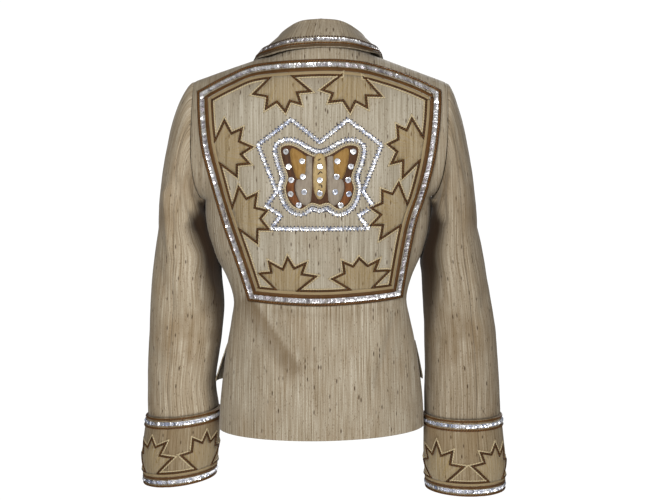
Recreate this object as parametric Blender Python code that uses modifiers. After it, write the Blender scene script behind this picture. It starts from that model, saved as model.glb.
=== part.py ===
# Embellished tailored jacket, worn shape, held at the neck and shoulders.
# Metres, +Z up. The fronts face -Y and the back faces +Y, so the wearer's left is +X.
# The origin lies between the two neck points, on the line of the shoulder seams.
import math

import bmesh
import bpy
from mathutils import Vector
from mathutils.geometry import delaunay_2d_cdt

# Cloth and seams
WALL = 0.0020
SEAM_GAP = 0.0003
LAYER_GAP = 0.0007
PANEL_LIFT = 0.0019
PANEL_EASE = 0.00036
PANEL_WALL = 0.0011
LEAF_WALL = 0.0010
CORD_HEIGHT = 0.0016
CORD_HALF_WIDTH = 0.0011

# Main lengths
HEM_Z = -0.590
UNDERARM_Z = -0.225
BACK_YOKE_Z = -0.100
NECK_HALF_WIDTH = 0.078
NAPE_DEPTH = 0.060
NAPE_RISE = 0.018
TIP_HALF_WIDTH = 0.1975
TIP_Z = -0.0430
ARMHOLE_DEPTH_BACK = 0.062
ARMHOLE_DEPTH_FRONT = 0.056
ARMHOLE_HALF_WIDTH_BACK = 0.197
ARMHOLE_HALF_WIDTH_FRONT = 0.184
NAPE_SLOPE_DEG = 60.0
NECK_ROUNDNESS = 0.75

# How the coat hangs: one side a little lower, and a slight lean to the left under the arms
STANCE_TILT = -0.016
STANCE_LEAN = 0.005
LEAN_Z = -0.240
LEAN_SPREAD = 0.150

# Body sections from the hem up: height, half width, depth behind and depth in front of the side seams
BODY_COLUMNS = ("z", "half_width", "back", "front")
BODY_SECTIONS = (
    (-0.590, 0.1625, 0.112, 0.112),
    (-0.540, 0.1575, 0.108, 0.108),
    (-0.490, 0.1500, 0.099, 0.102),
    (-0.450, 0.1425, 0.090, 0.097),
    (-0.415, 0.1375, 0.083, 0.094),
    (-0.385, 0.1355, 0.080, 0.094),
    (-0.350, 0.1390, 0.082, 0.101),
    (-0.310, 0.1510, 0.090, 0.113),
    (-0.270, 0.1650, 0.098, 0.121),
    (-0.225, 0.1715, 0.104, 0.118),
    (-0.160, 0.1715, 0.107, 0.104),
    (-0.100, 0.1715, 0.104, 0.088),
)

# Folds of the back below the panel: a soft line from one end to the other, its width and its depth
FOLD_COLUMNS = ("x0", "z0", "x1", "z1", "width", "depth")
BACK_FOLDS = (
    (0.112, -0.392, 0.046, -0.476, 0.014, 0.0045),
    (0.088, -0.396, 0.030, -0.470, 0.013, -0.0035),
    (0.066, -0.452, 0.046, -0.500, 0.016, -0.0030),
    (-0.118, -0.398, -0.084, -0.508, 0.014, 0.0045),
    (-0.092, -0.402, -0.062, -0.500, 0.014, -0.0035),
    (0.070, -0.392, -0.048, -0.414, 0.010, -0.0020),
)
# Heights between which the folds fade out under the panel
FOLD_FADE_LOW = -0.418
FOLD_FADE_HIGH = -0.392

# Sleeve sections from the upper arm down: height, outer and inner reach from the middle of the coat,
# middle of the section, half depth, and how far the inner side rises
SLEEVE_COLUMNS = ("z", "outer", "inner", "middle", "half_depth", "rise")
SLEEVE_SECTIONS = {
    "left": (
        (-0.270, 0.2590, 0.1755, -0.001, 0.066, 0.000),
        (-0.310, 0.2630, 0.1670, -0.003, 0.065, 0.000),
        (-0.350, 0.2670, 0.1585, -0.005, 0.063, 0.000),
        (-0.390, 0.2700, 0.1550, -0.007, 0.061, 0.000),
        (-0.440, 0.2720, 0.1590, -0.011, 0.059, 0.000),
        (-0.490, 0.2730, 0.1665, -0.016, 0.057, 0.002),
        (-0.530, 0.2735, 0.1710, -0.020, 0.056, 0.006),
        (-0.577, 0.2755, 0.1665, -0.025, 0.056, 0.012),
    ),
    "right": (
        (-0.270, 0.2455, 0.1650, -0.001, 0.065, 0.000),
        (-0.310, 0.2530, 0.1610, -0.003, 0.064, 0.000),
        (-0.350, 0.2600, 0.1585, -0.005, 0.062, 0.000),
        (-0.390, 0.2660, 0.1600, -0.007, 0.060, 0.000),
        (-0.440, 0.2735, 0.1620, -0.011, 0.059, 0.000),
        (-0.490, 0.2780, 0.1635, -0.016, 0.058, 0.000),
        (-0.530, 0.2805, 0.1640, -0.020, 0.058, 0.001),
        (-0.576, 0.2835, 0.1640, -0.025, 0.058, 0.001),
    ),
}
CUFF_SECTIONS = {
    "left": (
        (-0.577, 0.2765, 0.1660, -0.025, 0.0570, 0.012),
        (-0.610, 0.2810, 0.1660, -0.028, 0.0585, 0.013),
        (-0.655, 0.2830, 0.1700, -0.031, 0.0595, 0.014),
        (-0.692, 0.2815, 0.1740, -0.033, 0.0590, 0.014),
    ),
    "right": (
        (-0.576, 0.2845, 0.1635, -0.025, 0.0590, 0.001),
        (-0.610, 0.2880, 0.1630, -0.028, 0.0605, 0.001),
        (-0.655, 0.2925, 0.1640, -0.031, 0.0615, 0.001),
        (-0.702, 0.2905, 0.1690, -0.033, 0.0610, 0.002),
    ),
}
CAP_FULLNESS = {"left": 0.115, "right": 0.060}
CAP_PULL = 0.22
UNDERARM_FULLNESS = 0.032
UNDERARM_PULL = 0.05
# How the cloth leaves the armhole, outward and down, at the underarm and at the shoulder
CAP_OUT = (0.55, 0.94)
CAP_DOWN = (-0.83, -0.34)
CAP_SIDEWAYS = 0.20
SLEEVE_BACK_SEAM_DEG = 72.0
SLEEVE_FRONT_SEAM_DEG = 225.0
SIDES = (("left", 1), ("right", -1))

# Collar stations from the middle of the back to its front end: the neck seam, the fold and the free edge
COLLAR_COLUMNS = (
    "u", "seam_x", "seam_y", "seam_z", "fold_x", "fold_y", "fold_z", "edge_x", "edge_y", "edge_z",
)
COLLAR_STATIONS = (
    (0.00, 0.0000, 0.0600, 0.0190, 0.0000, 0.0490, 0.0530, 0.0000, 0.0760, 0.0090),
    (0.25, 0.0360, 0.0515, 0.0160, 0.0340, 0.0420, 0.0495, 0.0470, 0.0685, 0.0070),
    (0.50, 0.0640, 0.0290, 0.0085, 0.0590, 0.0200, 0.0385, 0.0830, 0.0420, 0.0010),
    (0.70, 0.0765, 0.0000, 0.0035, 0.0725, -0.0050, 0.0270, 0.1035, 0.0000, -0.0030),
    (0.85, 0.0750, -0.0300, -0.0015, 0.0735, -0.0330, 0.0150, 0.1085, -0.0350, -0.0145),
    (1.00, 0.0670, -0.0600, -0.0205, 0.0650, -0.0630, -0.0110, 0.1020, -0.0700, -0.0430),
)
FOLD_RADIUS = 0.0034
FALL_BULGE = 0.0025
FOLD_START = 0.35
FOLD_END = 0.60
COLLAR_COLUMNS_COUNT = 26
COLLAR_ROWS = (0.0, 0.17, 0.35, 0.41, 0.475, 0.54, 0.60, 0.75, 0.88, 1.0)

# Fronts: half of the overlap, the break of the lapel, and the roll line above it
OVERLAP = 0.018
BREAK_Z = -0.272
BREAK_X = 0.010
ROLL_TOP_X = 0.066
ROLL_TOP_Z = -0.030
FRONT_OVER_LIFT = WALL + 0.0011
FRONT_OVER_FULL = 0.028
FRONT_OVER_END = 0.060
BREAK_LENGTH = 0.020

# Lapel outline on the front, from the break up the roll line and down the free edge
LAPEL_OUTLINE = (
    (0.0150, -0.268),
    (0.0665, -0.042),
    (0.0980, -0.062),
    (0.1020, -0.068),
    (0.1240, -0.082),
    (0.1220, -0.120),
    (0.0980, -0.190),
    (0.0600, -0.245),
)

# Pocket flaps: place round the front and their size
FLAP_START = 0.50
FLAP_END = 0.93
FLAP_TOP_Z = -0.458
FLAP_LENGTH = 0.062
FLAP_EASE = 0.0003
FLAP_COLUMNS = 6
FLAP_ROWS = 3
FLAP_FRONT_FLARE = 0.3
FLAP_FLARE = {"left": 0.0120, "right": 0.0040}

# Buttons
BUTTON_RADIUS = 0.0115
BUTTON_THICKNESS = 0.0038
BUTTON_SHANK_RADIUS = 0.0030
BUTTON_SHANK = 0.0012
BUTTON_SEAT = 0.0004
BUTTON_SIDES = 20
BUTTON_ROWS = (9, 7, 5)

# Back panel: its corners, and the points between them that its edges pass through
PANEL_EDGES = (
    ((0.1895, -0.0590), (0.1430, -0.0350), (0.0960, -0.0180), (0.0045, -0.0108), (-0.0560, -0.0135),
     (-0.1020, -0.0245), (-0.1480, -0.0405)),
    ((-0.1840, -0.0575), (-0.1800, -0.1120), (-0.1725, -0.1670), (-0.1600, -0.2180), (-0.1440, -0.2680),
     (-0.1290, -0.3560)),
    ((-0.1255, -0.3790), (0.0000, -0.3860)),
    ((0.1125, -0.3820), (0.1330, -0.3140), (0.1550, -0.2470), (0.1720, -0.1840), (0.1830, -0.1350)),
)
BORDER_CORD_INSET = 0.0023
BORDER_BAND_OUTER = 0.0125
BORDER_BAND_INNER = 0.0215
INNER_CORD_INSET = 0.0240

# Leaf: tips and notches by angle from its axis and reach from its heart, for one half
LEAF_HEART = 0.012
LEAF_BASE_HALF = 0.0165
LEAF_COLUMNS = ("angle_deg", "reach")
LEAF_POINTS = ((76.0, 0.0445), (59.0, 0.0275), (41.0, 0.0415), (21.0, 0.0255), (0.0, 0.0390))
LEAF_INSET = 0.0030
LEAF_REACH = 0.020
# Leaves of the back: which edge of the panel, and how far along it
LEAF_PLACES = (
    (0, 0.335), (0, 0.650), (1, 0.250), (1, 0.610), (2, 0.220), (2, 0.785), (3, 0.385), (3, 0.740),
)

# Butterfly: half outline of the wings and of the body from the top down, about its own middle
BUTTERFLY_MIDDLE = (0.0015, -0.1840)
WING_HALF = (
    (0.000, 0.029), (0.014, 0.033), (0.040, 0.047), (0.059, 0.043), (0.057, 0.022), (0.045, 0.000),
    (0.051, -0.018), (0.043, -0.039), (0.026, -0.045), (0.012, -0.036), (0.000, -0.040),
)
BODY_HALF = (
    (0.000, 0.034), (0.007, 0.029), (0.010, 0.006), (0.009, -0.020), (0.004, -0.033), (0.000, -0.035),
)

# Cuff trims: top cord pair and hem band, as distances down the cuff
CUFF_TRIMS = (("band_upper", 0.0010, 0.0040), ("band_lower", 0.0150, 0.0030))
CUFF_HEM_BAND = 0.0090
CUFF_HEM_MARGIN = 0.0030
CUFF_LEAVES = 4
CUFF_LEAF_BASE = 0.022
CUFF_LEAF_WIDE = 0.90
CUFF_LEAF_HIGH = 1.18
CUFF_LEAF_TURN = 45.0
LEAF_GRID = 0.011

# How finely the cloth is divided, with rough lengths that turn the seam gap into shares and turns
YOKE_LENGTH = 0.20
SIDE_REACH = 0.17
ARM_LENGTH = 0.30
ARM_RADIUS = 0.055
BACK_COLUMNS = 24
FRONT_COLUMNS = 12
ARMHOLE_START = 0.012
ARMHOLE_BLEND = (-0.2, 0.7)
TURN_MARGIN = 9.0
TURN_SCALE = 60.0
CUFF_COLUMNS = 24
CUFF_ROWS = 4
LOWER_ROWS = 12
ARMHOLE_ROWS = 4
YOKE_ROWS = 5
CAP_ROWS = 5
OUTLINE_STEP = 0.014
PANEL_STEPS = 1.35
RUN_STEPS = 0.8
RUN_SPLITS = 4
NUDGE = 0.0005
NEWTON_STEPS = 9
PLANE_WIDTH = 0.20
PLANE_HEIGHT = 0.30
RIM_MARGIN = 0.0045
CORNER_LIMIT = 0.36
STEPS_TO_SHARE = 20
STEPS_TO_EDGE = 12
INSET_SHARE = 0.97

# Colours as red, green and blue, then roughness
COLOURS = {
    "tweed": ((0.42, 0.33, 0.22), 0.85),
    "panel_tweed": ((0.45, 0.38, 0.27), 0.85),
    "sleeve_tweed": ((0.38, 0.29, 0.19), 0.85),
    "leaf_cloth": ((0.46, 0.37, 0.20), 0.80),
    "dark_cord": ((0.11, 0.05, 0.02), 0.60),
    "dark_band": ((0.13, 0.06, 0.03), 0.60),
    "wing_cloth": ((0.30, 0.16, 0.06), 0.70),
    "body_cloth": ((0.50, 0.38, 0.20), 0.70),
    "button": ((0.16, 0.08, 0.04), 0.35),
}


# Remove what the file starts with
def clear_scene():
    for item in list(bpy.data.objects):
        bpy.data.objects.remove(item, do_unlink=True)


def make_material(name):
    colour, roughness = COLOURS[name]
    material = bpy.data.materials.new(name)
    material.use_nodes = True
    shader = material.node_tree.nodes["Principled BSDF"]
    shader.inputs["Base Color"].default_value = (*colour, 1.0)
    shader.inputs["Roughness"].default_value = roughness
    shader.inputs["Metallic"].default_value = 0.0
    return material


# One column of a table at a key, on a smooth curve through the rows
def table_value(rows, columns, name, key):
    column = columns.index(name)
    keys = [row[0] for row in rows]
    key = min(max(key, min(keys)), max(keys))
    rising = keys[-1] > keys[0]
    index = 0
    while index < len(rows) - 2 and ((key > keys[index + 1]) if rising else (key < keys[index + 1])):
        index += 1
    before = rows[max(index - 1, 0)]
    start = rows[index]
    end = rows[index + 1]
    after = rows[min(index + 2, len(rows) - 1)]
    step = end[0] - start[0]
    t = (key - start[0]) / step
    slope_start = (end[column] - before[column]) / (end[0] - before[0]) * step
    slope_end = (after[column] - start[column]) / (after[0] - start[0]) * step
    return (
        start[column] * (2 * t**3 - 3 * t**2 + 1)
        + slope_start * (t**3 - 2 * t**2 + t)
        + end[column] * (3 * t**2 - 2 * t**3)
        + slope_end * (t**3 - t**2)
    )


def mix(start, end, share):
    return start + (end - start) * share


def smooth_step(low, high, value):
    share = min(max((value - low) / (high - low), 0.0), 1.0)
    return share * share * (3.0 - 2.0 * share)


# Outward depth of the folds at a place on the back
def fold_depth(x, z):
    total = 0.0
    for row in BACK_FOLDS:
        fold = dict(zip(FOLD_COLUMNS, row))
        along_x = fold["x1"] - fold["x0"]
        along_z = fold["z1"] - fold["z0"]
        length_squared = along_x**2 + along_z**2
        share = ((x - fold["x0"]) * along_x + (z - fold["z0"]) * along_z) / length_squared
        share = min(max(share, 0.0), 1.0)
        away = math.hypot(x - fold["x0"] - share * along_x, z - fold["z0"] - share * along_z)
        total += fold["depth"] * math.exp(-((away / fold["width"]) ** 2))
    return total * (1.0 - smooth_step(FOLD_FADE_LOW, FOLD_FADE_HIGH, z))


def stance(point):
    lean = STANCE_LEAN * math.exp(-(((point.z - LEAN_Z) / LEAN_SPREAD) ** 2))
    return Vector((point.x + lean, point.y, point.z + STANCE_TILT * point.x))


# Armhole edge of one face at a level between the underarm (1) and the shoulder seam (2)
def edge_sizes(face, level):
    depth = ARMHOLE_DEPTH_BACK if face > 0 else ARMHOLE_DEPTH_FRONT
    width = ARMHOLE_HALF_WIDTH_BACK if face > 0 else ARMHOLE_HALF_WIDTH_FRONT
    middle_z = (UNDERARM_Z + TIP_Z) / 2
    under_width = table_value(BODY_SECTIONS, BODY_COLUMNS, "half_width", UNDERARM_Z)
    turn = math.radians(90.0) * min(level - 1.0, 0.5) * 2
    edge_x = mix(under_width, width, math.sin(turn))
    edge_y = depth * math.sin(turn)
    edge_z = UNDERARM_Z + (middle_z - UNDERARM_Z) * (1 - math.cos(turn))
    return edge_x, edge_y, edge_z


# A row of the body from its middle (share 0) to its side (share 1 or -1), up to the yoke
def lower_row(face, share, level):
    depth_name = "back" if face > 0 else "front"
    if level <= 1.0:
        z = mix(HEM_Z, UNDERARM_Z, level)
        half_width = table_value(BODY_SECTIONS, BODY_COLUMNS, "half_width", z)
        depth = table_value(BODY_SECTIONS, BODY_COLUMNS, depth_name, z)
        angle = share * math.radians(90.0)
        return Vector((half_width * math.sin(angle), face * depth * math.cos(angle), z))
    edge_x, edge_y, edge_z = edge_sizes(face, level)
    middle_z = mix(UNDERARM_Z, BACK_YOKE_Z, min((level - 1.0) * 2, 1.0))
    depth = table_value(BODY_SECTIONS, BODY_COLUMNS, depth_name, middle_z)
    reach = math.acos(edge_y / depth)
    x = edge_x * math.sin(share * reach) / math.sin(reach)
    z = middle_z + (edge_z - middle_z) * share**2
    return Vector((x, face * depth * math.cos(share * reach), z))


# Depth, height and steepness of the neckline and shoulder seam above a place
def top_line(face, x):
    across = abs(x)
    if across < NECK_HALF_WIDTH:
        inside = 1 - (across / NECK_HALF_WIDTH) ** 2
        steepness = mix(90.0, NAPE_SLOPE_DEG, inside)
        return face * NAPE_DEPTH * inside**NECK_ROUNDNESS, NAPE_RISE * inside, math.radians(steepness)
    share = (across - NECK_HALF_WIDTH) / (TIP_HALF_WIDTH - NECK_HALF_WIDTH)
    return 0.0, TIP_Z * share, math.radians(90.0)


# The cloth's outer face: face 1 is the back and -1 the fronts; level 0 hem, 1 underarm, 2 shoulder seam
def body_point(face, share, level):
    if level <= 1.5:
        point = lower_row(face, share, level)
    else:
        low = lower_row(face, share, 1.5)
        rise = (level - 1.5) * 2
        low_edge = ARMHOLE_HALF_WIDTH_BACK if face > 0 else ARMHOLE_HALF_WIDTH_FRONT
        top_x = low.x * TIP_HALF_WIDTH / low_edge
        top_y, top_z, turn = top_line(face, top_x)
        share_y = (math.cos(rise * turn) - math.cos(turn)) / (1 - math.cos(turn))
        share_z = math.sin(rise * turn) / math.sin(turn)
        x = mix(low.x, top_x, smooth_step(0.0, 1.0, rise))
        point = Vector((x, mix(top_y, low.y, share_y), mix(low.z, top_z, share_z)))
    if face > 0:
        point.y += fold_depth(point.x, point.z)
    return stance(point)


# Unit normal of a surface of two values, by small differences
def surface_normal(surface, u, v):
    along_u = surface(u + NUDGE, v) - surface(u - NUDGE, v)
    along_v = surface(u, v + NUDGE) - surface(u, v - NUDGE)
    return along_u.cross(along_v).normalized()


def body_normal(face, share, level):
    level = min(level, 2.0 - NUDGE)
    normal = surface_normal(lambda u, v: body_point(face, u, v), share, level)
    return -normal if face > 0 else normal


# Share and level of the body under a place seen from behind or in front, by Newton's method
def body_locate(face, x, z):
    share = x / TIP_HALF_WIDTH
    level = min(max((z - HEM_Z) / (UNDERARM_Z - HEM_Z), 0.0), 1.9)
    for _ in range(NEWTON_STEPS):
        point = body_point(face, share, level)
        aside = (body_point(face, share + NUDGE, level) - point) / NUDGE
        above = (body_point(face, share, level + NUDGE) - point) / NUDGE
        scale = aside.x * above.z - aside.z * above.x
        miss_x = x - point.x
        miss_z = z - point.z
        share += (miss_x * above.z - miss_z * above.x) / scale
        level += (miss_z * aside.x - miss_x * aside.z) / scale
        share = min(max(share, -1.0), 1.0)
        level = min(max(level, 0.0), 2.0 - 2 * NUDGE)
    return share, level


def share_at(face, x, level):
    low = -1.0
    high = 1.0
    for _ in range(STEPS_TO_SHARE):
        share = (low + high) / 2
        if body_point(face, share, level).x < x:
            low = share
        else:
            high = share
    return share


def on_body(face, x, z, lift):
    share, level = body_locate(face, x, z)
    return body_point(face, share, level) + body_normal(face, share, level) * lift


# The cloth laid out flat: metres across and metres up for each share and level
def to_plane(face, outline):
    places = [body_locate(face, x, z) for x, z in outline]
    return [(share * PLANE_WIDTH, level * PLANE_HEIGHT) for share, level in places]


def from_plane(face, a, b, lift):
    share = a / PLANE_WIDTH
    level = b / PLANE_HEIGHT
    return body_point(face, share, level) + body_normal(face, share, level) * lift


# The cloth wall's own grid points on the flat plane
def plane_grid(face):
    shares = back_shares() if face > 0 else spread(-1.0, 1.0, 2 * FRONT_COLUMNS)
    return [(u * PLANE_WIDTH, v * PLANE_HEIGHT) for v in body_levels() for u in shares]


# A closed solid from paired outer and inner points, row by row
def grid_solid(name, outer, inner, ring, material):
    rows = len(outer)
    columns = len(outer[0])
    layer = rows * columns
    vertices = [point for row in outer for point in row] + [point for row in inner for point in row]
    faces = []
    spans = columns if ring else columns - 1
    for row in range(rows - 1):
        for column in range(spans):
            beside = (column + 1) % columns
            a = row * columns + column
            b = row * columns + beside
            c = (row + 1) * columns + beside
            d = (row + 1) * columns + column
            faces.append((a, b, c, d))
            faces.append((d + layer, c + layer, b + layer, a + layer))
    for column in range(spans):
        beside = (column + 1) % columns
        last = (rows - 1) * columns
        faces.append((beside, column, column + layer, beside + layer))
        faces.append((last + column, last + beside, last + beside + layer, last + column + layer))
    if not ring:
        for row in range(rows - 1):
            a = row * columns
            d = (row + 1) * columns
            faces.append((a, d, d + layer, a + layer))
            b = a + columns - 1
            c = d + columns - 1
            faces.append((c, b, b + layer, c + layer))
    return make_object(name, vertices, faces, material)


def make_object(name, vertices, faces, material):
    mesh = bpy.data.meshes.new(name)
    mesh.from_pydata([tuple(point) for point in vertices], [], faces)
    shape = bmesh.new()
    shape.from_mesh(mesh)
    bmesh.ops.recalc_face_normals(shape, faces=shape.faces)
    bmesh.ops.triangulate(shape, faces=shape.faces, quad_method="SHORT_EDGE")
    shape.to_mesh(mesh)
    shape.free()
    mesh.materials.append(material)
    mesh.shade_smooth()
    item = bpy.data.objects.new(name, mesh)
    bpy.context.scene.collection.children["embellished_jacket"].objects.link(item)
    return item


# A wall from a surface: its outer points, and the same points moved in by the wall
def cloth_wall(name, point_at, normal_at, us, vs, wall, material, lift=0.0, ring=False):
    outer = []
    inner = []
    for v in vs:
        points = [point_at(u, v) for u in us]
        normals = [normal_at(u, v) for u in us]
        outer.append([p + n * lift for p, n in zip(points, normals)])
        inner.append([p + n * (lift - wall) for p, n in zip(points, normals)])
    return grid_solid(name, outer, inner, ring, material)


def spread(low, high, count):
    return [mix(low, high, index / count) for index in range(count + 1)]


def body_levels():
    gap = SEAM_GAP / 2 / YOKE_LENGTH
    levels = spread(0.0, 1.0, LOWER_ROWS) + spread(1.0, 1.5, ARMHOLE_ROWS)[1:]
    return levels + spread(1.5, 2.0 - gap, YOKE_ROWS)[1:]


def back_shares():
    edge = 1.0 - SEAM_GAP / 2 / SIDE_REACH
    return spread(-edge, edge, BACK_COLUMNS)


def build_back(materials):
    cloth_wall(
        "back",
        lambda u, v: body_point(1, u, v),
        lambda u, v: body_normal(1, u, v),
        back_shares(),
        body_levels(),
        WALL,
        materials["tweed"],
    )


# Where the front's free edge runs at a height
def front_edge_x(z):
    if z < BREAK_Z:
        return mix(-OVERLAP, BREAK_X, smooth_step(BREAK_Z - BREAK_LENGTH, BREAK_Z, z))
    if z < ROLL_TOP_Z:
        return mix(BREAK_X, ROLL_TOP_X, (z - BREAK_Z) / (ROLL_TOP_Z - BREAK_Z))
    return mix(ROLL_TOP_X, NECK_HALF_WIDTH, min((z - ROLL_TOP_Z) / -ROLL_TOP_Z, 1.0))


def front_edge_share(side, level):
    share = 0.0
    for _ in range(STEPS_TO_EDGE):
        z = body_point(-1, side * share, level).z
        share = side * share_at(-1, side * front_edge_x(z), level)
    return share


def front_lift(side, point):
    if side > 0:
        return 0.0
    return FRONT_OVER_LIFT * (1.0 - smooth_step(FRONT_OVER_FULL, FRONT_OVER_END, abs(point.x)))


def build_front(name, side, materials):
    edge = 1.0 - SEAM_GAP / 2 / SIDE_REACH
    outer = []
    inner = []
    for level in body_levels():
        start = front_edge_share(side, level)
        shares = [side * share for share in spread(start, edge, FRONT_COLUMNS)]
        points = [body_point(-1, share, level) for share in shares]
        normals = [body_normal(-1, share, level) for share in shares]
        lifts = [front_lift(side, point) for point in points]
        outer.append([p + n * lift for p, n, lift in zip(points, normals, lifts)])
        inner.append([p + n * (lift - WALL) for p, n, lift in zip(points, normals, lifts)])
    grid_solid(name, outer, inner, False, materials["tweed"])


# Level and face of the armhole at a turn: 0 shoulder tip, 90 back, 180 underarm, 270 front
def armhole_place(turn):
    turn = turn % 360.0
    face = 1 if turn <= 180.0 else -1
    down = turn if face > 0 else 360.0 - turn
    return face, 2.0 - down / 180.0


def armhole_point(side, turn):
    face, level = armhole_place(turn)
    return body_point(face, side, level)


def armhole_normal(side, turn):
    face, level = armhole_place(turn)
    return body_normal(face, side, min(max(level, 1.0 + NUDGE), 2.0 - NUDGE))


def ring_point(side, rows, turn, z):
    angle = math.radians(turn)
    outer = table_value(rows, SLEEVE_COLUMNS, "outer", z)
    inner = table_value(rows, SLEEVE_COLUMNS, "inner", z)
    middle = table_value(rows, SLEEVE_COLUMNS, "middle", z)
    half_depth = table_value(rows, SLEEVE_COLUMNS, "half_depth", z)
    rise = table_value(rows, SLEEVE_COLUMNS, "rise", z)
    x = (outer + inner) / 2 + (outer - inner) / 2 * math.cos(angle)
    return Vector((side * x, middle + half_depth * math.sin(angle), z + rise * (1 - math.cos(angle)) / 2))


# Sleeve surface: stage 0 to 1 is the cap from the armhole down, and above 1 the arm down to the cuff
def sleeve_point(side_name, side, turn, stage):
    rows = SLEEVE_SECTIONS[side_name]
    top_z = rows[0][0]
    if stage > 1.0:
        return ring_point(side, rows, turn, mix(top_z, rows[-1][0], stage - 1.0))
    start = armhole_point(side, turn)
    end = ring_point(side, rows, turn, top_z)
    upper = (1 + math.cos(math.radians(turn))) / 2
    sideways = math.sin(math.radians(turn))
    out = Vector((side * mix(*CAP_OUT, upper), CAP_SIDEWAYS * sideways, mix(*CAP_DOWN, upper)))
    pull_out = out * mix(UNDERARM_FULLNESS, CAP_FULLNESS[side_name], upper)
    pull_down = Vector((0.0, 0.0, -mix(UNDERARM_PULL, CAP_PULL, upper)))
    t = stage
    return (
        start * (2 * t**3 - 3 * t**2 + 1)
        + pull_out * (t**3 - 2 * t**2 + t)
        + end * (3 * t**2 - 2 * t**3)
        + pull_down * (t**3 - t**2)
    )


def sleeve_normal(side_name, side, turn, stage):
    def surface(u, v):
        return sleeve_point(side_name, side, u * TURN_SCALE, v)

    low = max(stage, 0.01)
    return surface_normal(surface, turn / TURN_SCALE, low) * -side


# Turns round the armhole where the body has its rows, so that both edges share their corners
def sleeve_turns(low, high):
    levels = spread(1.0, 1.5, ARMHOLE_ROWS) + spread(1.5, 2.0, YOKE_ROWS)[1:]
    downs = [(2.0 - level) * 180.0 for level in levels]
    ways = ((1, 0), (-1, 0), (-1, 360))
    turns = sorted({sign * down + whole for down in downs for sign, whole in ways})
    return [low] + [turn for turn in turns if low + TURN_MARGIN < turn < high - TURN_MARGIN] + [high]


def sleeve_rows():
    below = len(SLEEVE_SECTIONS["left"])
    return spread(ARMHOLE_START, 1.0, CAP_ROWS) + spread(1.0, 2.0 - SEAM_GAP / ARM_LENGTH, below)[1:]


def build_sleeve(side_name, side, materials):
    trim = math.degrees(SEAM_GAP / ARM_RADIUS)
    pieces = (
        ("upper", SLEEVE_FRONT_SEAM_DEG - 360.0, SLEEVE_BACK_SEAM_DEG),
        ("under", SLEEVE_BACK_SEAM_DEG, SLEEVE_FRONT_SEAM_DEG),
    )
    for piece, low, high in pieces:
        turns = sleeve_turns(low + trim, high - trim)
        outer = []
        inner = []
        for stage in sleeve_rows():
            points = [sleeve_point(side_name, side, turn, stage) for turn in turns]
            normals = [sleeve_normal(side_name, side, turn, stage) for turn in turns]
            if stage == ARMHOLE_START:
                edges = [armhole_normal(side, turn) for turn in turns]
                blends = [smooth_step(*ARMHOLE_BLEND, e.dot(n)) for e, n in zip(edges, normals)]
                normals = [n.lerp(e, blend).normalized() for e, n, blend in zip(edges, normals, blends)]
            outer.append(points)
            inner.append([p - n * WALL for p, n in zip(points, normals)])
        grid_solid(f"sleeve_{piece}_{side_name}", outer, inner, False, materials["sleeve_tweed"])


# Cuff surface by turn and distance down from its seam
def cuff_point(side_name, side, turn, down):
    rows = CUFF_SECTIONS[side_name]
    return ring_point(side, rows, turn, rows[0][0] - down)


def cuff_length(side_name):
    rows = CUFF_SECTIONS[side_name]
    return rows[0][0] - rows[-1][0]


def cuff_normal(side_name, side, turn, down):
    def surface(u, v):
        return cuff_point(side_name, side, u * TURN_SCALE, v)

    return surface_normal(surface, turn / TURN_SCALE, down) * -side


def on_cuff(side_name, side, turn, down, lift):
    point = cuff_point(side_name, side, turn, down)
    return point + cuff_normal(side_name, side, turn, down) * lift


def cuff_turns(count):
    return [360.0 * index / count for index in range(count)]


def build_cuff(side_name, side, materials):
    turns = cuff_turns(CUFF_COLUMNS)
    length = cuff_length(side_name)
    downs = spread(length, 0.0, CUFF_ROWS)
    cloth_wall(
        f"cuff_{side_name}",
        lambda u, v: cuff_point(side_name, side, u, v),
        lambda u, v: cuff_normal(side_name, side, u, min(v, length - NUDGE)),
        turns,
        downs,
        WALL,
        materials["sleeve_tweed"],
        ring=True,
    )
    hem_start = length - CUFF_HEM_MARGIN - CUFF_HEM_BAND
    for trim_name, start, height in (*CUFF_TRIMS, ("hem_band", hem_start, CUFF_HEM_BAND)):
        rows = (start + height, start)
        cloth_wall(
            f"cuff_{trim_name}_{side_name}",
            lambda u, v: cuff_point(side_name, side, u, v),
            lambda u, v: cuff_normal(side_name, side, u, v),
            turns,
            rows,
            CORD_HEIGHT,
            materials["dark_cord"],
            lift=CORD_HEIGHT + LAYER_GAP,
            ring=True,
        )


# Straight outline thickened with points so that none lies further than a step from the next
def densify(outline, step):
    points = []
    for index, start in enumerate(outline):
        end = outline[(index + 1) % len(outline)]
        length = math.hypot(end[0] - start[0], end[1] - start[1])
        count = max(1, math.ceil(length / step))
        for part in range(count):
            points.append((mix(start[0], end[0], part / count), mix(start[1], end[1], part / count)))
    return points


# A smooth curve through points, as a list that leaves out the last one
def smooth_run(points, per_span):
    run = []
    for index in range(len(points) - 1):
        before = points[max(index - 1, 0)]
        start = points[index]
        end = points[index + 1]
        after = points[min(index + 2, len(points) - 1)]
        for part in range(per_span):
            t = part / per_span
            run.append(tuple(
                0.5 * (2 * start[k] + (end[k] - before[k]) * t
                       + (2 * before[k] - 5 * start[k] + 4 * end[k] - after[k]) * t**2
                       + (3 * start[k] - before[k] - 3 * end[k] + after[k]) * t**3)
                for k in (0, 1)
            ))
    return run


# The outline moved sideways by a distance, with its corners kept sharp; a positive distance goes inside
def move_outline(outline, distance):
    moved = []
    count = len(outline)
    for index, point in enumerate(outline):
        before = outline[index - 1]
        after = outline[(index + 1) % count]
        first = unit(point[0] - before[0], point[1] - before[1])
        second = unit(after[0] - point[0], after[1] - point[1])
        normal = unit(-first[1] - second[1], first[0] + second[0])
        open_angle = max(-normal[0] * first[1] + normal[1] * first[0], CORNER_LIMIT)
        reach = distance / open_angle
        moved.append((point[0] + normal[0] * reach, point[1] + normal[1] * reach))
    return moved


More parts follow.
